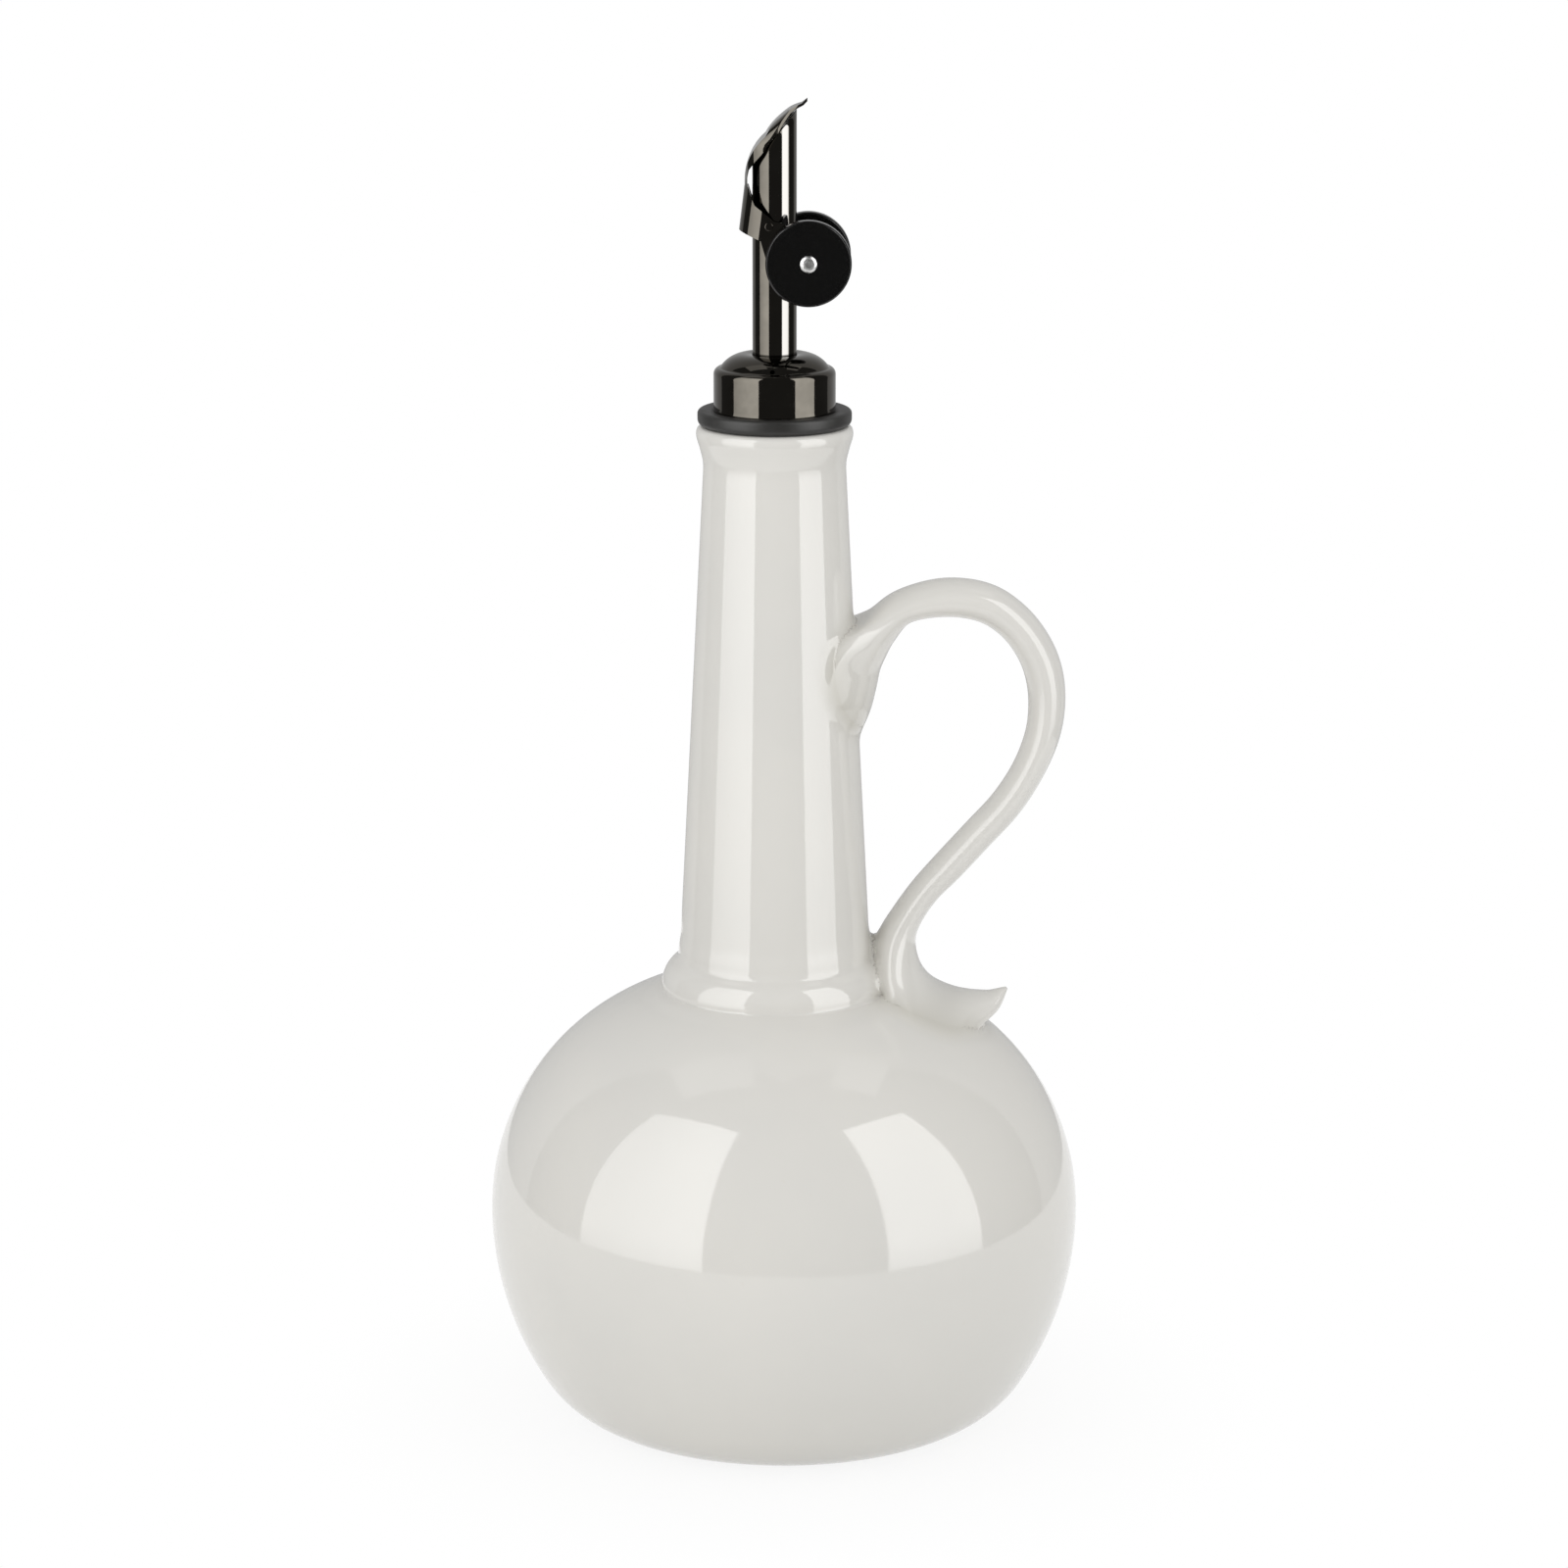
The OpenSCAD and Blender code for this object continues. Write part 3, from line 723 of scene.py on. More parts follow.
def close_to(grid: Array, others: Array, reach: float) -> Array:
    """Which points of a grid lie in, or next to, a cell of this size that holds one of the others."""
    low = np.minimum(grid.reshape(-1, 3).min(axis=0), others.min(axis=0)) - 2 * reach
    cell, own = ((others - low) / reach).astype(int), ((grid - low) / reach).astype(int)
    taken = np.zeros(np.maximum(cell.max(axis=0), own.reshape(-1, 3).max(axis=0)) + 2, bool)
    taken[tuple(cell.T)] = True
    for axis in range(3):
        taken = taken | np.roll(taken, 1, axis=axis) | np.roll(taken, -1, axis=axis)
    return taken[own[..., 0], own[..., 1], own[..., 2]]


@dataclass
class Bottle:
    """Hollow glazed bottle with its collar, neck, lip and looped handle."""

    belly_r: float = 55.0
    belly_z: float = 39.5
    shoulder_r: float = 44.0
    flank_r: float = 58.0
    heel_r: float = 18.0
    wall: float = 4.5
    floor_t: float = 6.5
    foot_r: float = 23.0
    recess: float = 2.0
    mouth_z: float = 188.0
    neck_top_r: float = 13.0
    neck_foot_r: float = 17.5
    neck_shift: float = 1.7
    lip_r: float = 14.35
    lip_h: float = 7.5
    bore_r: float = 9.5
    bore_h: float = 30.0
    collar_r: float = 21.1
    collar_z: float = 82.8
    collar_round: float = 5.9
    collar_h: float = 9.7
    shift_h: float = 2.2
    arch_z: float = 156.0
    reach: float = 48.4
    upper_leaf: float = 11.0
    lower_leaf: float = 16.0
    half_t: float = 3.5
    half_w: float = 5.3
    tip_rise: float = 10.0
    sides: int = 240
    crowd: float = 0.62
    # Distance between the handle's rings and points on each: in the mesh, and where the wall is fitted to it
    fine: tuple[float, int] = (0.42, 96)
    coarse: tuple[float, int] = (0.8, 64)
    melt: Melt = field(default_factory=Melt)

    @property
    def neck_low_z(self) -> float:
        """Height at which the neck's cone starts."""
        return self.collar_z + self.collar_h

    @property
    def neck_high_z(self) -> float:
        """Height at which the neck's cone ends."""
        return self.mouth_z - self.lip_h

    def neck_x(self, z: float) -> float:
        """Outermost X of the neck at a height: its radius falls evenly from foot to top."""
        t = (z - self.neck_low_z) / (self.neck_high_z - self.neck_low_z)
        return self.neck_foot_r + (self.neck_top_r - self.neck_foot_r) * t - self.neck_shift

    def shoulder_z(self, r: float) -> float:
        """Height of the belly's outside at a distance from its axis: a circle's upper half."""
        return self.belly_z + math.sqrt(self.shoulder_r ** 2 - (r - self.belly_r + self.shoulder_r) ** 2)

    def belly_line(self, t: float, top_r: float) -> Array:
        """Belly's outline, drawn in by t: the arcs of the heel, the flank and the shoulder up to top_r."""
        flank_x, shoulder_x = self.belly_r - self.flank_r, self.belly_r - self.shoulder_r
        heel_a = math.degrees(math.asin((self.belly_z - self.heel_r) / (self.flank_r - self.heel_r)))
        heel_x = flank_x + (self.flank_r - self.heel_r) * math.cos(math.radians(heel_a))
        top_a = math.degrees(math.acos((top_r - shoulder_x) / (self.shoulder_r - t)))
        return np.vstack([
            arc((heel_x, self.heel_r), self.heel_r - t, -90, -heel_a)[:-1],
            arc((flank_x, self.belly_z), self.flank_r - t, -heel_a, 0)[:-1],
            arc((shoulder_x, self.belly_z), self.shoulder_r - t, 0, top_a, 40),
        ])

    def outside(self) -> Array:
        """Outer line of the turned wall, from the foot ring to the mouth's edge, with softened corners."""
        edge = 1.0
        line = np.vstack([
            [[0.6, self.recess], [self.foot_r - 0.8, self.recess], [self.foot_r + 0.4, 0.0]],
            self.belly_line(0.0, self.collar_r - 0.4),
            arc((self.collar_r - self.collar_round, self.collar_z), self.collar_round, -6, 62, 16),
            [[self.neck_foot_r + 0.35, self.neck_low_z - 2.2], [self.neck_foot_r, self.neck_low_z]],
            [[self.neck_top_r, self.neck_high_z], [self.neck_top_r + 0.1, self.neck_high_z + 1.2]],
            [[self.lip_r - 0.55, self.mouth_z - 3.6], [self.lip_r, self.mouth_z - 2.0]],
            arc((self.lip_r - edge, self.mouth_z - edge), edge, 10, 90, 9),
            [[self.bore_r + 0.8, self.mouth_z]],
        ])
        return soften(resample(line, 0.2), 0.55)

    def inside(self) -> Array:
        """Inner line from the mouth's edge down the bore and round the belly to the middle of the floor."""
        foot_r = self.neck_foot_r - self.wall
        line = np.vstack([
            [[self.bore_r + 0.8, self.mouth_z], [self.bore_r, self.mouth_z - 0.8]],
            [[self.bore_r, self.mouth_z - self.bore_h], [foot_r, self.neck_low_z]],
            self.belly_line(self.wall, foot_r)[::-1],
            [[0.6, self.floor_t]],
        ])
        line[:, 1] = np.maximum(line[:, 1], self.floor_t)
        return soften(resample(line, 0.3), 0.5)

    def axis_x(self, z: Array) -> Array:
        """X of the local axis at each height: the neck and the collar stand off the belly's axis."""
        t = np.clip((z - self.collar_z) / self.shift_h + 1.0, 0.0, 1.0)
        return -self.neck_shift * t * t * (3 - 2 * t)

    def hull(self) -> tuple[Array, Array]:
        """Grid of the whole turned wall, from the recess under the foot over the lip to the floor inside.

        Returns:
            The points, and for each row whether it is on the outside.
        """
        outer, inner = self.outside(), self.inside()
        z = outer[:, 1]
        rims = (z > self.mouth_z - 9.0) | (z < 1.0)
        collar = np.abs(z - self.collar_z - 0.7) < 5.0
        roots = (z > self.collar_z - 9.8) & (z < self.arch_z + 1.0)
        outer = resample(outer, np.select([rims, collar, roots], [0.45, 0.42, 0.62], 1.7))
        inner = resample(inner, np.where(inner[:, 1] > self.mouth_z - 4.0, 0.5, 3.0))[1:]
        line = np.vstack([outer, inner])
        return lathe(line, self.sides, self.axis_x(line[:, 1]), self.crowd), np.arange(len(line)) < len(outer)

    def stations(self) -> Array:
        """Stations of the handle: its middle in X and Z, half its thickness and width, and its side bend."""
        leaf_z, mid, foot = self.arch_z - 24.4, self.arch_z - 20, self.shoulder_z(21.0)
        tip = self.shoulder_z(41.0) + self.tip_rise
        neck, reach, top = self.neck_x(leaf_z), self.reach, self.arch_z
        t, w, upper, lower = self.half_t, self.half_w, self.upper_leaf, self.lower_leaf
        return np.array([
            (neck - 0.6, leaf_z, 0.5, 0.6, 0),
            (neck - 0.6, leaf_z + 1.2, 1.8, 0.5 * upper, -0.8),
            (neck - 0.8, leaf_z + 3.8, 3.2, 0.78 * upper, -2.2),
            (neck - 1, leaf_z + 8, 4.3, 0.95 * upper, -3.7),
            (neck - 0.5, leaf_z + 12, 4.5, upper, -4.4),
            (neck + 1.4, leaf_z + 15.4, 4.1, 0.93 * upper, -4),
            (neck + 3.9, leaf_z + 18.6, 3.4, 0.7 * upper, -1.8),
            (neck + 7.9, leaf_z + 22.6, t - 0.4, w + 0.7, -0.2),
            (29.3, top, t, w + 0.3, 0),
            (36.6, top - 0.9, t + 0.1, w, 0),
            (reach - 6.5, top - 4.2, t, w, 0),
            (reach - 2.7, top - 9, t, w, 0),
            (reach - 0.6, top - 14.2, t, w, 0),
            (reach, mid, t - 0.1, w, 0),
            (reach - 0.8, mid - 6, t - 0.3, w, 0),
            (reach - 3.4, mid - 12.6, t - 0.5, w - 0.2, 0),
            (reach - 7.4, mid - 19, t - 0.5, w - 0.3, 0),
            (36, mid - 24.6, t - 0.5, w - 0.4, 0),
            (30.6, mid - 30.6, t - 0.5, w - 0.4, 0),
            (26, foot + 18, t - 0.7, w - 0.4, 0),
            (22.4, foot + 12.5, t - 0.5, w + 0.2, 0),
            (20.8, foot + 8, t + 0.3, w + 1.8, 0.3),
            (21.4, foot + 3.2, 4.1, 0.68 * lower, 1.6),
            (24.6, foot - 0.9, 3.5, 0.95 * lower, 2.9),
            (29.2, foot - 3.6, 2.9, 0.98 * lower, 2.2),
            (34.2, foot - 4.2, 2.8, 0.6 * lower, 1.2),
            (38.3, tip - 2.7, 2.2, 0.32 * lower, 0.5),
            (40.5, tip - 0.9, 1, 0.13 * lower, 0.1),
            (41.5, tip, 0.3, 0.5, 0),
        ])

    def strand(self, spacing: float, sides: int) -> Array:
        """Grid of the handle.

        A cubic curve runs through the stations. Across it stands an oval. With t and w half its thickness and
        width and b its bend, point a of a ring lies t cos a - b sin^2 a off the middle in the X-Z plane, and
        w sin a along Y.

        Args:
            spacing: distance between rings.
            sides: points on a ring.

        Returns:
            The grid of points.
        """
        knots = self.stations()
        u = np.linspace(0.0, len(knots) - 1, 24 * (len(knots) - 1) + 1)
        i = np.minimum(u.astype(int), len(knots) - 2)
        t = (u - i)[:, None]
        padded = np.vstack([knots[:1], knots, knots[-1:]])
        a, b, c, d = (padded[i + k] for k in range(4))
        curve = b + t / 2 * ((c - a) + t * ((2 * a - 5 * b + 4 * c - d) + t * (3 * b - a - 3 * c + d)))
        curve = resample(soften(resample(curve, 0.15), 0.9), spacing)
        run = np.gradient(curve[:, :2], axis=0)
        run /= np.linalg.norm(run, axis=1)[:, None]
        angle = 2 * math.pi * np.arange(sides) / sides
        x, z, thick, wide, bend = (column[:, None] for column in curve.T)
        out = thick * np.cos(angle) - bend * np.sin(angle) ** 2
        run_x, run_z = run[:, :1], run[:, 1:]
        return np.stack([x - out * run_z, wide * np.sin(angle), z + out * run_x], axis=-1)

    def melt_onto(self, grid: Array, other: Array, live: Array) -> tuple[Array, Array]:
        """Lifts the points of a grid onto the soft join with another surface.

        Args:
            grid: the grid to lift.
            other: grid of the other surface, of which the points near the first one are used.
            live: which points of the grid may be near it.

        Returns:
            The lifted grid, and how deep each point lies in the join, from 0 to 1, which sets the painted
            shade in the creases.
        """
        normal, other_normal = outward(grid), outward(other)
        near = close_to(other, grid[live], self.melt.pool + 2.5)
        live = live & close_to(grid, other[near], self.melt.pool)
        samples, sample_normals, own = other[near], other_normal[near], normal[live]
        gap, direction = field_of(grid[live], samples, sample_normals, self.melt.softness)
        rise = self.melt.lift(gap, (direction * own).sum(axis=1))
        moved = grid[live] + own * rise[:, None]
        soft = rise > 0
        far, direction = field_of(moved[soft], samples, sample_normals, self.melt.softness)
        lean, first = (direction * own[soft]).sum(axis=1), rise[soft]
        last = self.melt.lift(far - lean * first, lean)
        moved[soft] += own[soft] * (last - first)[:, None]
        moved[soft] += self.melt.tuck(last, far + lean * (last - first), own[soft], direction)
        lifted, pooled_and_shaded = grid.copy(), np.zeros(grid.shape[:2])
        lifted[live] = moved
        # Painted shade in the crease: full on the other surface, gone at its reach
        pooled_and_shaded[live] = np.clip(1 - np.abs(gap) / self.melt.pool, 0.0, 1.0) ** 2
        return lifted, pooled_and_shaded

    def build(self, finish: bpy.types.Material) -> None:
        """Builds the turned wall and the handle, melts them together and dresses them."""
        hull, is_out = self.hull()
        strand = self.strand(*self.fine)
        facing = is_out[:, None] & (hull[..., 0] > 0)
        body, body_crease_shade = self.melt_onto(hull, self.strand(*self.coarse), facing)
        loop, loop_crease_shade = self.melt_onto(strand, hull[facing.any(axis=1)], np.ones(strand.shape[:2], bool))
        parts = [
            # The marks carry the painted crease shade to the glaze
            skin("glazed_body", body, Ends.POLES, {"pooled_and_shaded": body_crease_shade}),
            skin("glazed_handle", loop, Ends.POLES, {"pooled_and_shaded": loop_crease_shade}),
        ]
        for part in parts:
            dress(part, finish, Body.BOTTLE, Slot.GLAZE, "bottle")


# Pourer


@dataclass
class Pourer:
    """What is pushed together on the pouring tube: stopper, cap, tube, air tube and hinge studs."""

    axis_x: float = -1.7
    mouth_z: float = 188.0
    flange_r: float = 14.05
    flange_t: float = 2.9
    seat: float = 0.3
    plug_h: float = 20.0
    rib_r: float = 9.4
    ribs: int = 4
    cap_r: float = 11.1
    cap_h: float = 10.2
    cap_round: float = 5.5
    cap_corner: float = 1.2
    cap_step: float = 1.2
    cap_bead: float = 0.06
    sheet: float = 0.6
    tube_r: float = 4.0
    tube_wall: float = 0.5
    spout_z: float = 241.5
    spout_angle: float = 41.0
    mouth_lean: float = 7.0
    nib_rise: float = 0.3
    # Places along X of the painted highlight on the tube's nib side
    tube_highlight: tuple[float, float] = (-0.35, 0.75)
    lid_span: tuple[float, float] = (-1.6, 4.9)
    lid_bulge: float = 0.6
    lid_gap: float = 0.3
    vent_r: float = 1.2
    vent_y: float = 6.1
    vent_drop: float = 46.0
    vent_hole: float = 0.9
    vent_turn: float = -3.0
    vent_tilt: float = 40.0
    clear: float = 0.05
    hinge_x: float = -1.0
    hinge_z: float = 224.7
    stud_r: float = 0.6
    stud_out: float = 5.0
    stud_head: float = 0.08
    sides: int = 128

    @property
    def flange_top(self) -> float:
        """Height of the rubber flange's top."""
        return self.mouth_z + self.flange_t

    @property
    def dome_z(self) -> float:
        """Height of the middle of the cap's dome arc."""
        return self.flange_top + self.cap_h - self.cap_round

    def stopper(self) -> bpy.types.Object:
        """Turned stopper: a flange with a raised rim, and a plug with slanted ribs."""
        low, top, core = self.mouth_z - self.plug_h, self.flange_top, self.rib_r - 1.0
        bore = self.tube_r + self.clear
        corners = [
            (bore, top - self.seat, 0.1), (self.cap_r + 0.12, top - self.seat, 0.1),
            (self.cap_r + 0.45, top - 0.1, 0.3), (self.flange_r - 1.5, top, 0.8), (self.flange_r, top, 1.2),
            (self.flange_r, self.mouth_z, 1.2), (core, self.mouth_z, 0.5),
        ]
        pitch = (self.plug_h - 2.0) / self.ribs
        for i in reversed(range(self.ribs)):
            z = low + 1.0 + i * pitch
            corners += [(core, z + 1.45, 0.1), (self.rib_r, z + 1.4, 0.12), (core, z, 0.5)]
        corners += [(core, low, 0.6), (bore, low, 0.2)]
        return skin("rubber_stopper", lathe(rounded(corners), self.sides, self.axis_x))

    def cap_line(self, t: float) -> Array:
        """Line of the cap's sheet, drawn in by t: wall, corner, dome, and a valley up to the tube."""
        shelf, start, lean, valley = 78.0, 33.0, 25.0, 0.9
        seat, dome_z, wide = self.flange_top - self.seat, self.dome_z, self.cap_r + self.cap_bead
        a, b = math.radians(start), math.radians(lean)
        dome_x = self.cap_r - self.cap_step - self.cap_round * math.cos(a)
        corner_z = dome_z + self.cap_round * math.sin(a) - self.cap_corner * math.sin(math.radians(shelf))
        reach = self.cap_round + valley
        valley_x, valley_z = dome_x - reach * math.sin(b), dome_z + reach * math.cos(b)
        return np.vstack([
            [[wide - t, seat], [wide - t, seat + 0.3], [self.cap_r - t, seat + 0.7]],
            arc((self.cap_r - self.cap_corner, corner_z), self.cap_corner - t, 0, shelf, 14),
            arc((dome_x, dome_z), self.cap_round - t, start, 90 + lean, 36),
            arc((valley_x, valley_z), valley + t, 265 + lean, 192, 10),
        ])

    def cap(self) -> bpy.types.Object:
        """Drawn metal cap, with its air hole cut through."""
        outer, inner = self.cap_line(0.0), self.cap_line(self.sheet)
        outer = soften(resample(outer, 0.08), 0.12)[::2]
        line = np.vstack([outer, resample(inner[::-1], 0.5)])
        line[:, 0] = np.maximum(line[:, 0], self.tube_r + self.clear)
        cap = skin("domed_cap", lathe(line, self.sides, self.axis_x))
        turn, tilt = math.radians(self.vent_turn), math.radians(self.vent_tilt)
        base = np.array([math.sin(turn), -math.cos(turn), 0.0]) * (2 * self.cap_r / 3)
        middle, r, low, high = 0.02, self.vent_hole / 2, -2.0, 12.0
        drill = lathe(np.array([[middle, low], [r, low], [r, high], [middle, high]]), 24)
        y, z = drill[..., 1].copy(), drill[..., 2].copy()
        drill[..., 1] = y * math.cos(tilt) - z * math.sin(tilt)
        drill[..., 2] = y * math.sin(tilt) + z * math.cos(tilt)
        drill += base + np.array([self.axis_x, 0.0, self.dome_z + 1.0])
        cutter = skin("air_drill", drill, Ends.POLES)
        modifier = cap.modifiers.new("air_hole", "BOOLEAN")
        modifier.object = cutter
        modifier.operation = "DIFFERENCE"
        settle(cap)
        bpy.data.objects.remove(cutter)
        return cap

    def tube(self) -> bpy.types.Object:
        """Pouring tube.

        Each column runs up the outer wall and down the inner one. Its top follows the slanted cut, at the
        nib's height less the tangent of the cut's angle times how far X lies behind the nib, and under the
        lid's bulge a parabola is added.
        """
        low = self.mouth_z - self.plug_h - 3.0
        r_out, r_in, edge = self.tube_r, self.tube_r - self.tube_wall, 0.09
        rows = 40
        share = np.linspace(0.0, 1.0, rows)
        rim = [(r_out, -edge), (r_out - 0.3 * edge, -0.3 * edge), (r_out - edge, 0.0), (r_in + edge, 0.0),
               (r_in + 0.3 * edge, -0.3 * edge), (r_in, -edge)]
        radius = np.concatenate([np.full(rows, r_out), [r for r, _ in rim], np.full(rows, r_in)])
        part = np.concatenate([share, np.ones(len(rim)), share[::-1]])
        drop = np.concatenate([-edge * share, [d for _, d in rim], -edge * share[::-1]])
        a = 2 * math.pi * np.arange(self.sides) / self.sides
        x, y = radius[:, None] * np.cos(a), radius[:, None] * np.sin(a)
        rise = math.tan(math.radians(self.spout_angle))
        cut = math.tan(math.radians(self.spout_angle + self.mouth_lean))
        nib = self.spout_z + self.tube_r * rise + self.nib_rise - self.lid_gap
        back, front = self.lid_span
        bulge = 1 - ((2 * x - back - front) / (front - back)) ** 2
        top = nib + (x - self.tube_r) * cut + self.lid_bulge * np.clip(bulge, 0.0, None)
        z = low + part[:, None] * (top - low) + drop[:, None]
        return skin("pouring_tube", np.stack([x + self.axis_x, y, z], axis=-1))

    def air_tube(self) -> bpy.types.Object:
        """Thin tube that lets air back into the bottle."""
        low, high = self.mouth_z - self.vent_drop, self.flange_top - self.seat + 1.5
        r_out, r_in, edge = self.vent_r, self.vent_r - 0.4, 0.12
        corners = [(r_out, low, edge), (r_out, high, edge), (r_in, high, edge), (r_in, low, edge)]
        grid = lathe(rounded(corners, 4), 32, self.axis_x)
        grid[..., 1] += self.vent_y
        return skin("vent_tube", grid)

    def studs(self) -> bpy.types.Object:
        """Two short studs with low heads that the flap turns on."""
        inner = self.tube_r - self.tube_wall - 0.35
        out, top, r = self.stud_out, self.stud_out + self.stud_head, self.stud_r
        corners = [(0.01, top, 0.0), (1.1 * r, top - 0.01, 0.3), (1.3 * r, out, 0.05), (r, out, 0.05),
                   (r, inner, 0.1), (0.01, inner, 0.0)]
        line = rounded(corners, 5, closed=False)
        parts = []
        for side in Side:
            grid = lathe(line, 40)
            x, y, z = grid[..., 0], grid[..., 1], grid[..., 2]
            turned = np.stack([x + self.axis_x + self.hinge_x, side.value * z, y + self.hinge_z], axis=-1)
            parts.append(skin("stud", turned, Ends.POLES))
        return join("hinge_studs", parts)

    def build(self, metal: bpy.types.Material, rubber: bpy.types.Material) -> None:
        """Builds and dresses the pieces."""
        dress(self.stopper(), rubber, Body.POURER, Slot.RUBBER, "stopper")
        dress(self.cap(), metal, Body.POURER, Slot.METAL, "cap")
        # The tube's metal has a painted highlight of the right soft box
        tube_metal = BlackNickel("tube_nickel", highlight_band=self.tube_highlight).material()
        dress(self.tube(), tube_metal, Body.POURER, Slot.METAL, "pour_tube")
        dress(self.air_tube(), metal, Body.POURER, Slot.METAL, "air_tube")
        dress(self.studs(), metal, Body.POURER, Slot.METAL, "hinge_pins")


@dataclass
class Flap:
    """Folded sheet with the lid, the back strap, the skirt and the two arms."""

    edge: float = 0.15

    def build(self, metal: bpy.types.Material, node: bpy.types.Object) -> None:
        """Copies the solid's shape, rounds its edges and dresses it."""
        dress(merged_copy(node, "folded_flap", self.edge), metal, Body.FLAP, Slot.METAL, "flap")


@dataclass
class Weights:
    """Two black discs and the bright rivet through them."""

    x: float = 4.4
    z: float = 218.3
    disc_r: float = 7.75
    disc_t: float = 2.5
    disc_edge: float = 0.28
    inner_y: float = 5.1
    hole_r: float = 1.05
    shaft_r: float = 1.0
    head_r: float = 1.55
    head_h: float = 0.6
    sides: int = 128

    def across(self, line: Array, side: Side, name: str, ends: Ends) -> bpy.types.Object:
        """Turns a line of [radius, distance along Y] round the rivet's axis."""
        grid = lathe(line, self.sides)
        x, y, z = grid[..., 0], grid[..., 1], grid[..., 2]
        return skin(name, np.stack([x + self.x, side.value * z, y + self.z], axis=-1), ends)

    def disc(self, side: Side, name: str) -> bpy.types.Object:
        """Disc with a bevelled rim."""
        low, high, r, edge = self.inner_y, self.inner_y + self.disc_t, self.disc_r, self.disc_edge
        corners = [
            (self.hole_r, low, 0.1), (r - edge, low, 0.1), (r, low + edge, 0.12), (r, high - edge, 0.12),
            (r - edge, high, 0.1), (self.hole_r, high, 0.05),
        ]
        return self.across(rounded(corners, 5), side, name, Ends.RING)

    def rivet(self) -> bpy.types.Object:
        """Rivet with a low domed head and a dimple at each end."""
        face = self.inner_y + self.disc_t
        half = [
            (0.01, face + self.head_h - 0.04, 0.0), (0.3, face + self.head_h - 0.03, 0.3),
            (0.6, face + self.head_h, 0.3), (1.15, face + self.head_h - 0.1, 0.6),
            (self.head_r, face + 0.18, 0.2), (self.head_r, face + 0.01, 0.04),
            (self.shaft_r, face + 0.01, 0.0),
        ]
        end = rounded(half, 6, closed=False)
        line = np.vstack([end, end[::-1] * np.array([1.0, -1.0])])
        return self.across(line, Side.REAR, "bright_rivet", Ends.POLES)

    def build(self, plastic: bpy.types.Material, steel: bpy.types.Material) -> None:
        """Builds and dresses the discs and the rivet."""
        dress(self.disc(Side.FRONT, "front_disc"), plastic, Body.WEIGHTS, Slot.PLASTIC, "front_weight")
        dress(self.disc(Side.REAR, "rear_disc"), plastic, Body.WEIGHTS, Slot.PLASTIC, "rear_weight")
        dress(self.rivet(), steel, Body.WEIGHTS, Slot.STEEL, "weight_rivet")


# Studio


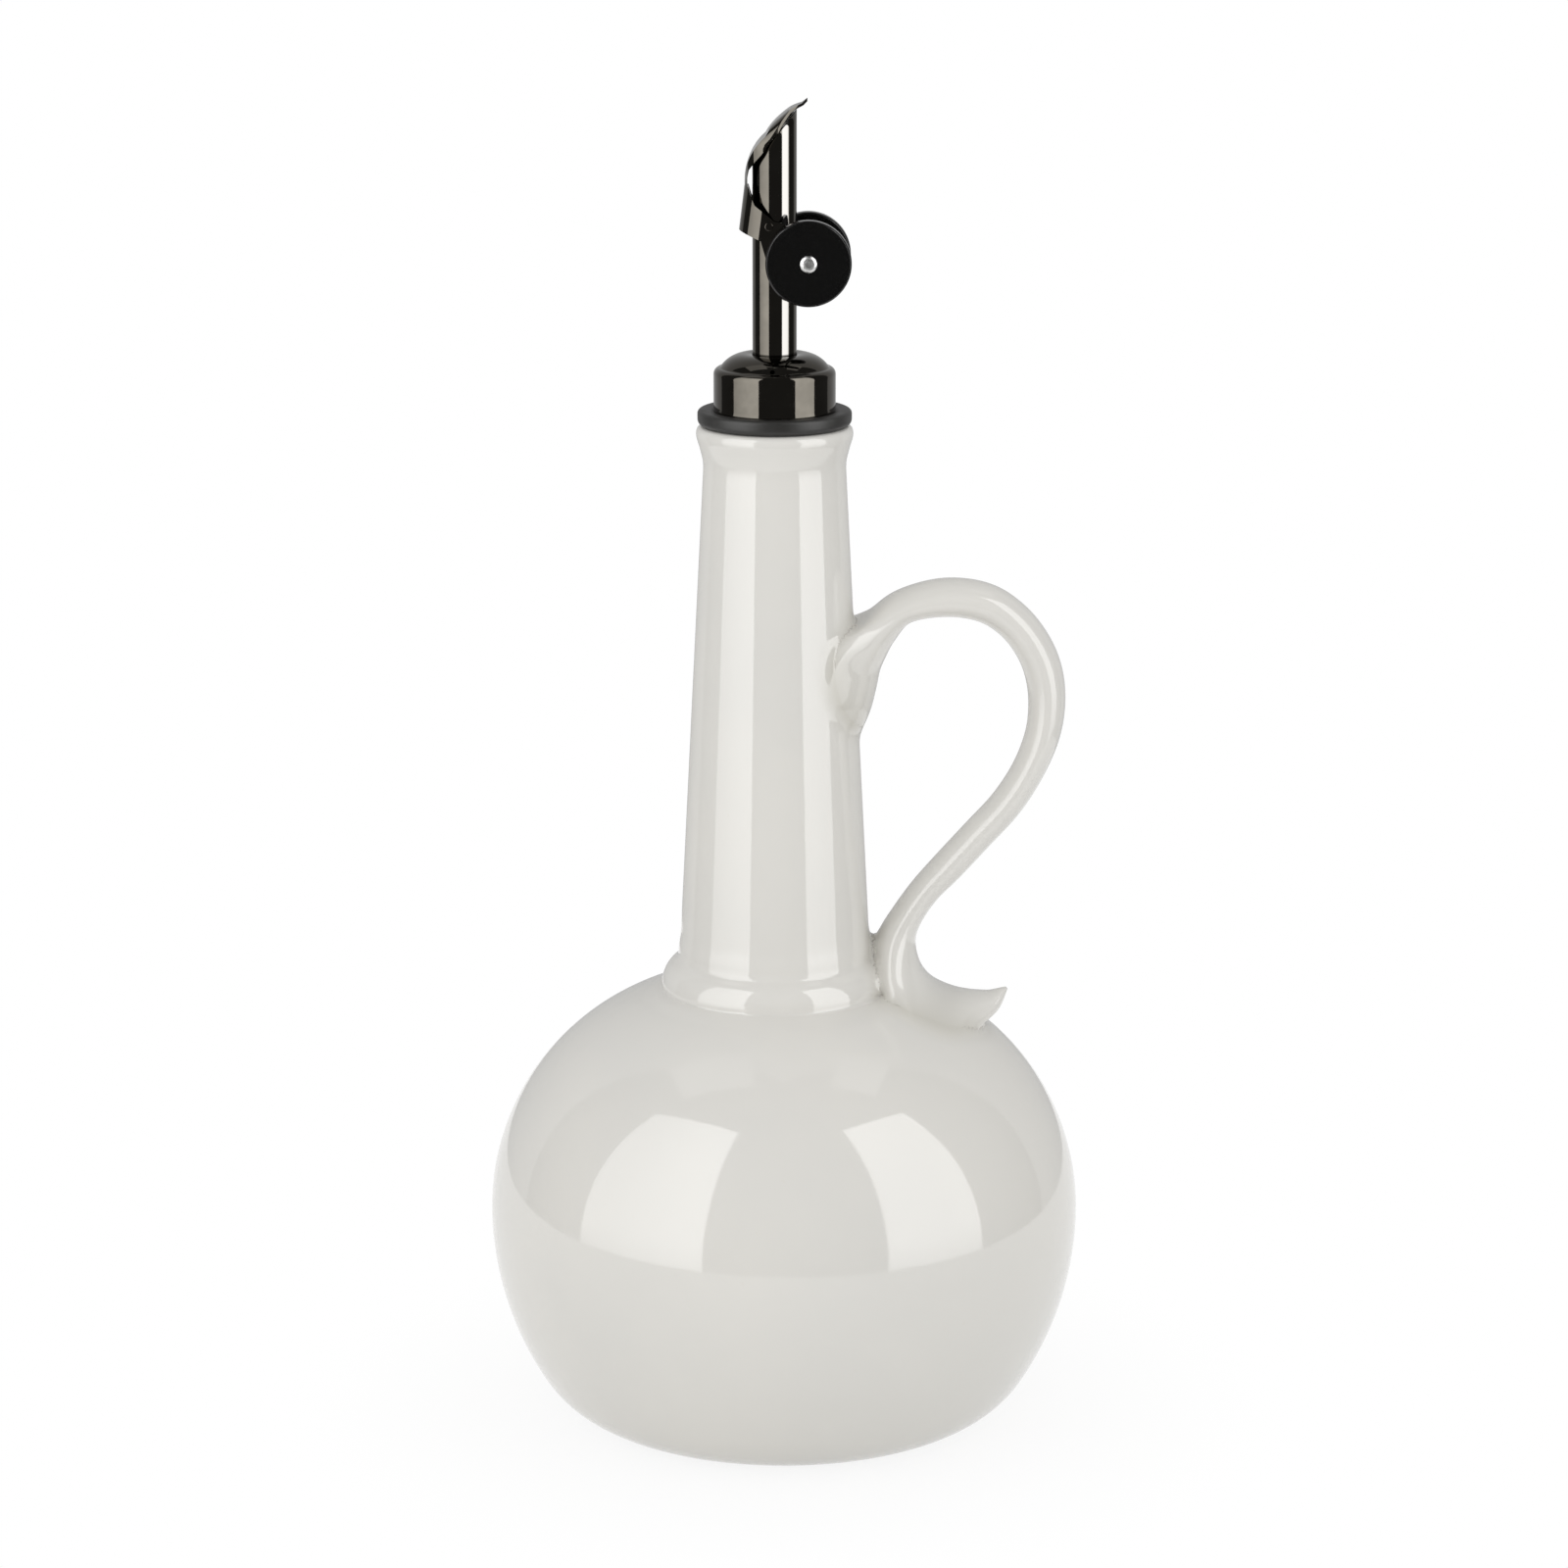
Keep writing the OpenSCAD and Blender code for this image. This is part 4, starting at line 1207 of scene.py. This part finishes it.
@dataclass
class Studio:
    """White table, two tall soft boxes, a dark room that shows in reflections, and the camera."""

    camera_at: tuple[float, float, float] = (0.0, -0.930, 0.345)
    camera_tilt: float = 13.55363
    focal: float = 118.813
    table_r: float = 370.0
    table_x: float = -40.0
    table_shade: Colour = (0.86, 0.86, 0.85)
    shadow_r: tuple[float, float] = (20.0, 100.0)
    shadow_share: float = 0.12
    ambient: float = 0.66
    front_light: float = 2.2
    front_x: float = 600.0
    front_y: float = -2000.0
    front_z: tuple[float, float] = (500.0, 1900.0)
    # Turn from the camera's side and distance of each soft box's inner edge, then of its outer edge
    boxes: tuple[tuple[float, float, float, float], ...] = (
        (-30.0, 870.0, -83.0, 1200.0),
        (39.0, 890.0, 80.0, 1100.0),
    )
    # Share of the shine that is left at each soft box's outer edge
    box_dims: tuple[float, float] = (0.7, 0.95)
    box_light: float = 1.5
    box_shine: float = 3.75
    box_low: float = -250.0
    box_full: float = 120.0
    box_high: float = 1440.0
    box_foot: float = 0.5
    # Sides of each panel overhead along X, and of both along Y
    panels: tuple[tuple[float, float], ...] = ((-850.0, -210.0), (350.0, 750.0))
    panel_y: tuple[float, float] = (-100.0, 450.0)
    panel_z: float = 1500.0
    panel_shine: float = 0.8
    room_r: float = 2600.0
    room_turn: float = 119.0
    room_lift: tuple[float, float] = (-80.0, 89.0)
    room_glow: float = 0.10
    haze_glow: float = 0.50

    def camera(self) -> None:
        """Places the camera."""
        lens = bpy.data.cameras.new("camera")
        lens.sensor_width = 36.0
        lens.lens = self.focal
        lens.clip_start = 0.01
        lens.clip_end = 50.0
        camera = bpy.data.objects.new("camera", lens)
        camera.location = self.camera_at
        camera.rotation_euler = (math.radians(90.0 - self.camera_tilt), 0.0, 0.0)
        bpy.context.scene.collection.objects.link(camera)
        bpy.context.scene.camera = camera

    def glow(self, name: str, strength: float, fades: tuple[Fade, ...] = ()) -> bpy.types.Material:
        """Material that only shines.

        Args:
            name: its name.
            strength: how brightly it shines.
            fades: how it falls off.

        Returns:
            The material.
        """
        material, g = new_material(name)
        falls = [g.step(g.axis(axis), least * MM, full * MM) * (1.0 - share) + share
                 for axis, full, least, share in fades]
        shade = math.prod(falls[1:], start=falls[0]) if falls else WHITE
        g.surface(g.node("ShaderNodeEmission", inputs={"Color": shade, "Strength": strength}))
        return material

    def sheet(self, points: Array, faces: Array, glow: bpy.types.Material, lights: bool) -> None:
        """Adds a shining surface with its material's name, which either gives light or only shows in gloss.

        Args:
            points: its points, in millimetres.
            faces: its faces, as numbers of points.
            glow: its material.
            lights: whether it gives light.
        """
        mesh = bpy.data.meshes.new(glow.name)
        mesh.from_pydata((points * MM).tolist(), [], faces.tolist())
        mesh.materials.append(glow)
        if not lights:
            glow.cycles.emission_sampling = "NONE"
        sheet = bpy.data.objects.new(glow.name, mesh)
        bpy.context.scene.collection.objects.link(sheet)
        sheet.visible_camera = sheet.visible_shadow = False
        sheet.visible_glossy, sheet.visible_diffuse = not lights, lights

    def soft_box(self, name: str, edges: tuple[float, float, float, float], dim: float) -> None:
        """Adds an upright soft box, as one sheet that gives light and one that only shows in gloss."""
        turn, away = np.radians(edges[0::2]), np.array(edges[1::2])
        x, y = (away * np.sin(turn))[[0, 1, 1, 0]], (-away * np.cos(turn))[[0, 1, 1, 0]]
        z = np.array([self.box_low, self.box_low, self.box_high, self.box_high])
        corners = np.stack([x, y, z], axis=-1)
        fades = (("Z", self.box_full, self.box_low, self.box_foot), ("X", float(x[0]), float(x[1]), dim))
        self.sheet(corners, FACE, self.glow(f"{name}_light", self.box_light), True)
        self.sheet(corners, FACE, self.glow(f"{name}_shine", self.box_shine, fades), False)

    def front(self) -> None:
        """Adds a broad soft light behind the camera, which does not show in gloss."""
        (low, high), side = self.front_z, self.front_x
        x, z = np.array([-side, side, side, -side]), np.array([low, low, high, high])
        corners = np.stack([x, np.full(4, self.front_y), z], axis=-1)
        self.sheet(corners, FACE, self.glow("front_light", self.front_light), True)

    def ceiling(self) -> None:
        """Adds two level panels overhead that only show in gloss."""
        near, far = self.panel_y
        for i, (left, right) in enumerate(self.panels):
            x, y = np.array([left, right, right, left]), np.array([near, near, far, far])
            corners = np.stack([x, y, np.full(4, self.panel_z)], axis=-1)
            self.sheet(corners, FACE, self.glow(f"panel_{i}", self.panel_shine), False)

    def wall(self, name: str, turns: tuple[float, float], strength: float) -> None:
        """Adds a part of the room's walls, a patch of a ball's shell that only gloss sees.

        A point at turn a from the camera's side and at height b is R (sin a cos b, -cos a cos b, sin b).

        Args:
            name: its name.
            turns: its sides, in degrees.
            strength: how brightly it shines.
        """
        rows, columns = 25, 49
        turn = np.radians(np.linspace(*turns, columns))
        lift = np.radians(np.linspace(*self.room_lift, rows))[:, None]
        x, y = np.sin(turn) * np.cos(lift), -np.cos(turn) * np.cos(lift)
        points = self.room_r * np.stack([x, y, np.broadcast_to(np.sin(lift), x.shape)], axis=-1)
        index = np.arange(rows * columns).reshape(rows, columns)
        faces = np.stack([index[:-1, :-1], index[:-1, 1:], index[1:, 1:], index[1:, :-1]], axis=-1)
        self.sheet(points.reshape(-1, 3), faces.reshape(-1, 4), self.glow(name, strength), False)

    def room(self) -> None:
        """Adds the dark walls, and a paler one behind the cruet."""
        self.wall("room_front", (-self.room_turn, self.room_turn), self.room_glow)
        self.wall("room_back", (self.room_turn, 360.0 - self.room_turn), self.haze_glow)

    def table(self) -> None:
        """White table that keeps the cruet's soft shadow near the foot and looks plain white further out."""
        corners = [(1.0, 0.0, 0.0), (self.table_r, 0.0, 4.0), (self.table_r, -20.0, 4.0), (1.0, -20.0, 0.0)]
        table = skin("table", lathe(rounded(corners, 6, closed=False), 96, self.table_x), Ends.POLES)
        material, g = new_material("white_table")
        off = g.math("SQRT", g.axis("X") ** 2.0 + g.axis("Y") ** 2.0)
        near, far = (r * MM for r in self.shadow_r)
        plain = g.step(off, near, far) * self.shadow_share + (1.0 - self.shadow_share)
        lit = g.node("ShaderNodeBsdfDiffuse", inputs={"Color": (*self.table_shade, 1.0)})
        white = g.node("ShaderNodeEmission", inputs={"Color": WHITE, "Strength": 1.0})
        g.surface(g.node("ShaderNodeMixShader", inputs={0: g.seen() * plain, 1: lit, 2: white}))
        table.data.materials.append(material)

    def world(self) -> None:
        """White surroundings for the camera and for mirrors, and a plain soft light for the rest."""
        world = bpy.data.worlds.new("studio")
        bpy.context.scene.world = world
        world.use_nodes = True
        g = Graph(world.node_tree)
        strength = g.seen() * (1.0 - self.ambient) + self.ambient
        g.surface(g.node("ShaderNodeBackground", inputs={"Color": WHITE, "Strength": strength}))

    def build(self) -> None:
        """Builds the whole studio."""
        bpy.context.scene.view_settings.view_transform = "Standard"
        self.camera()
        self.world()
        self.table()
        self.room()
        self.front()
        self.ceiling()
        for name, edges, dim in zip(("left_box", "right_box"), self.boxes, self.box_dims):
            self.soft_box(name, edges, dim)


def main() -> None:
    """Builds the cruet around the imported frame."""
    logging.basicConfig(level=logging.INFO, format="%(message)s")
    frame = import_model()
    metal = BlackNickel().material()
    Bottle().build(Glaze().material())
    Pourer().build(metal, Rubber().material())
    Flap().build(metal, frame["nodes"]["flap"])
    weights = Weights()
    weights.build(DiscPlastic().material(), RivetSteel((weights.x * MM, weights.z * MM)).material())
    Studio().build()


if __name__ == "__main__":
    main()
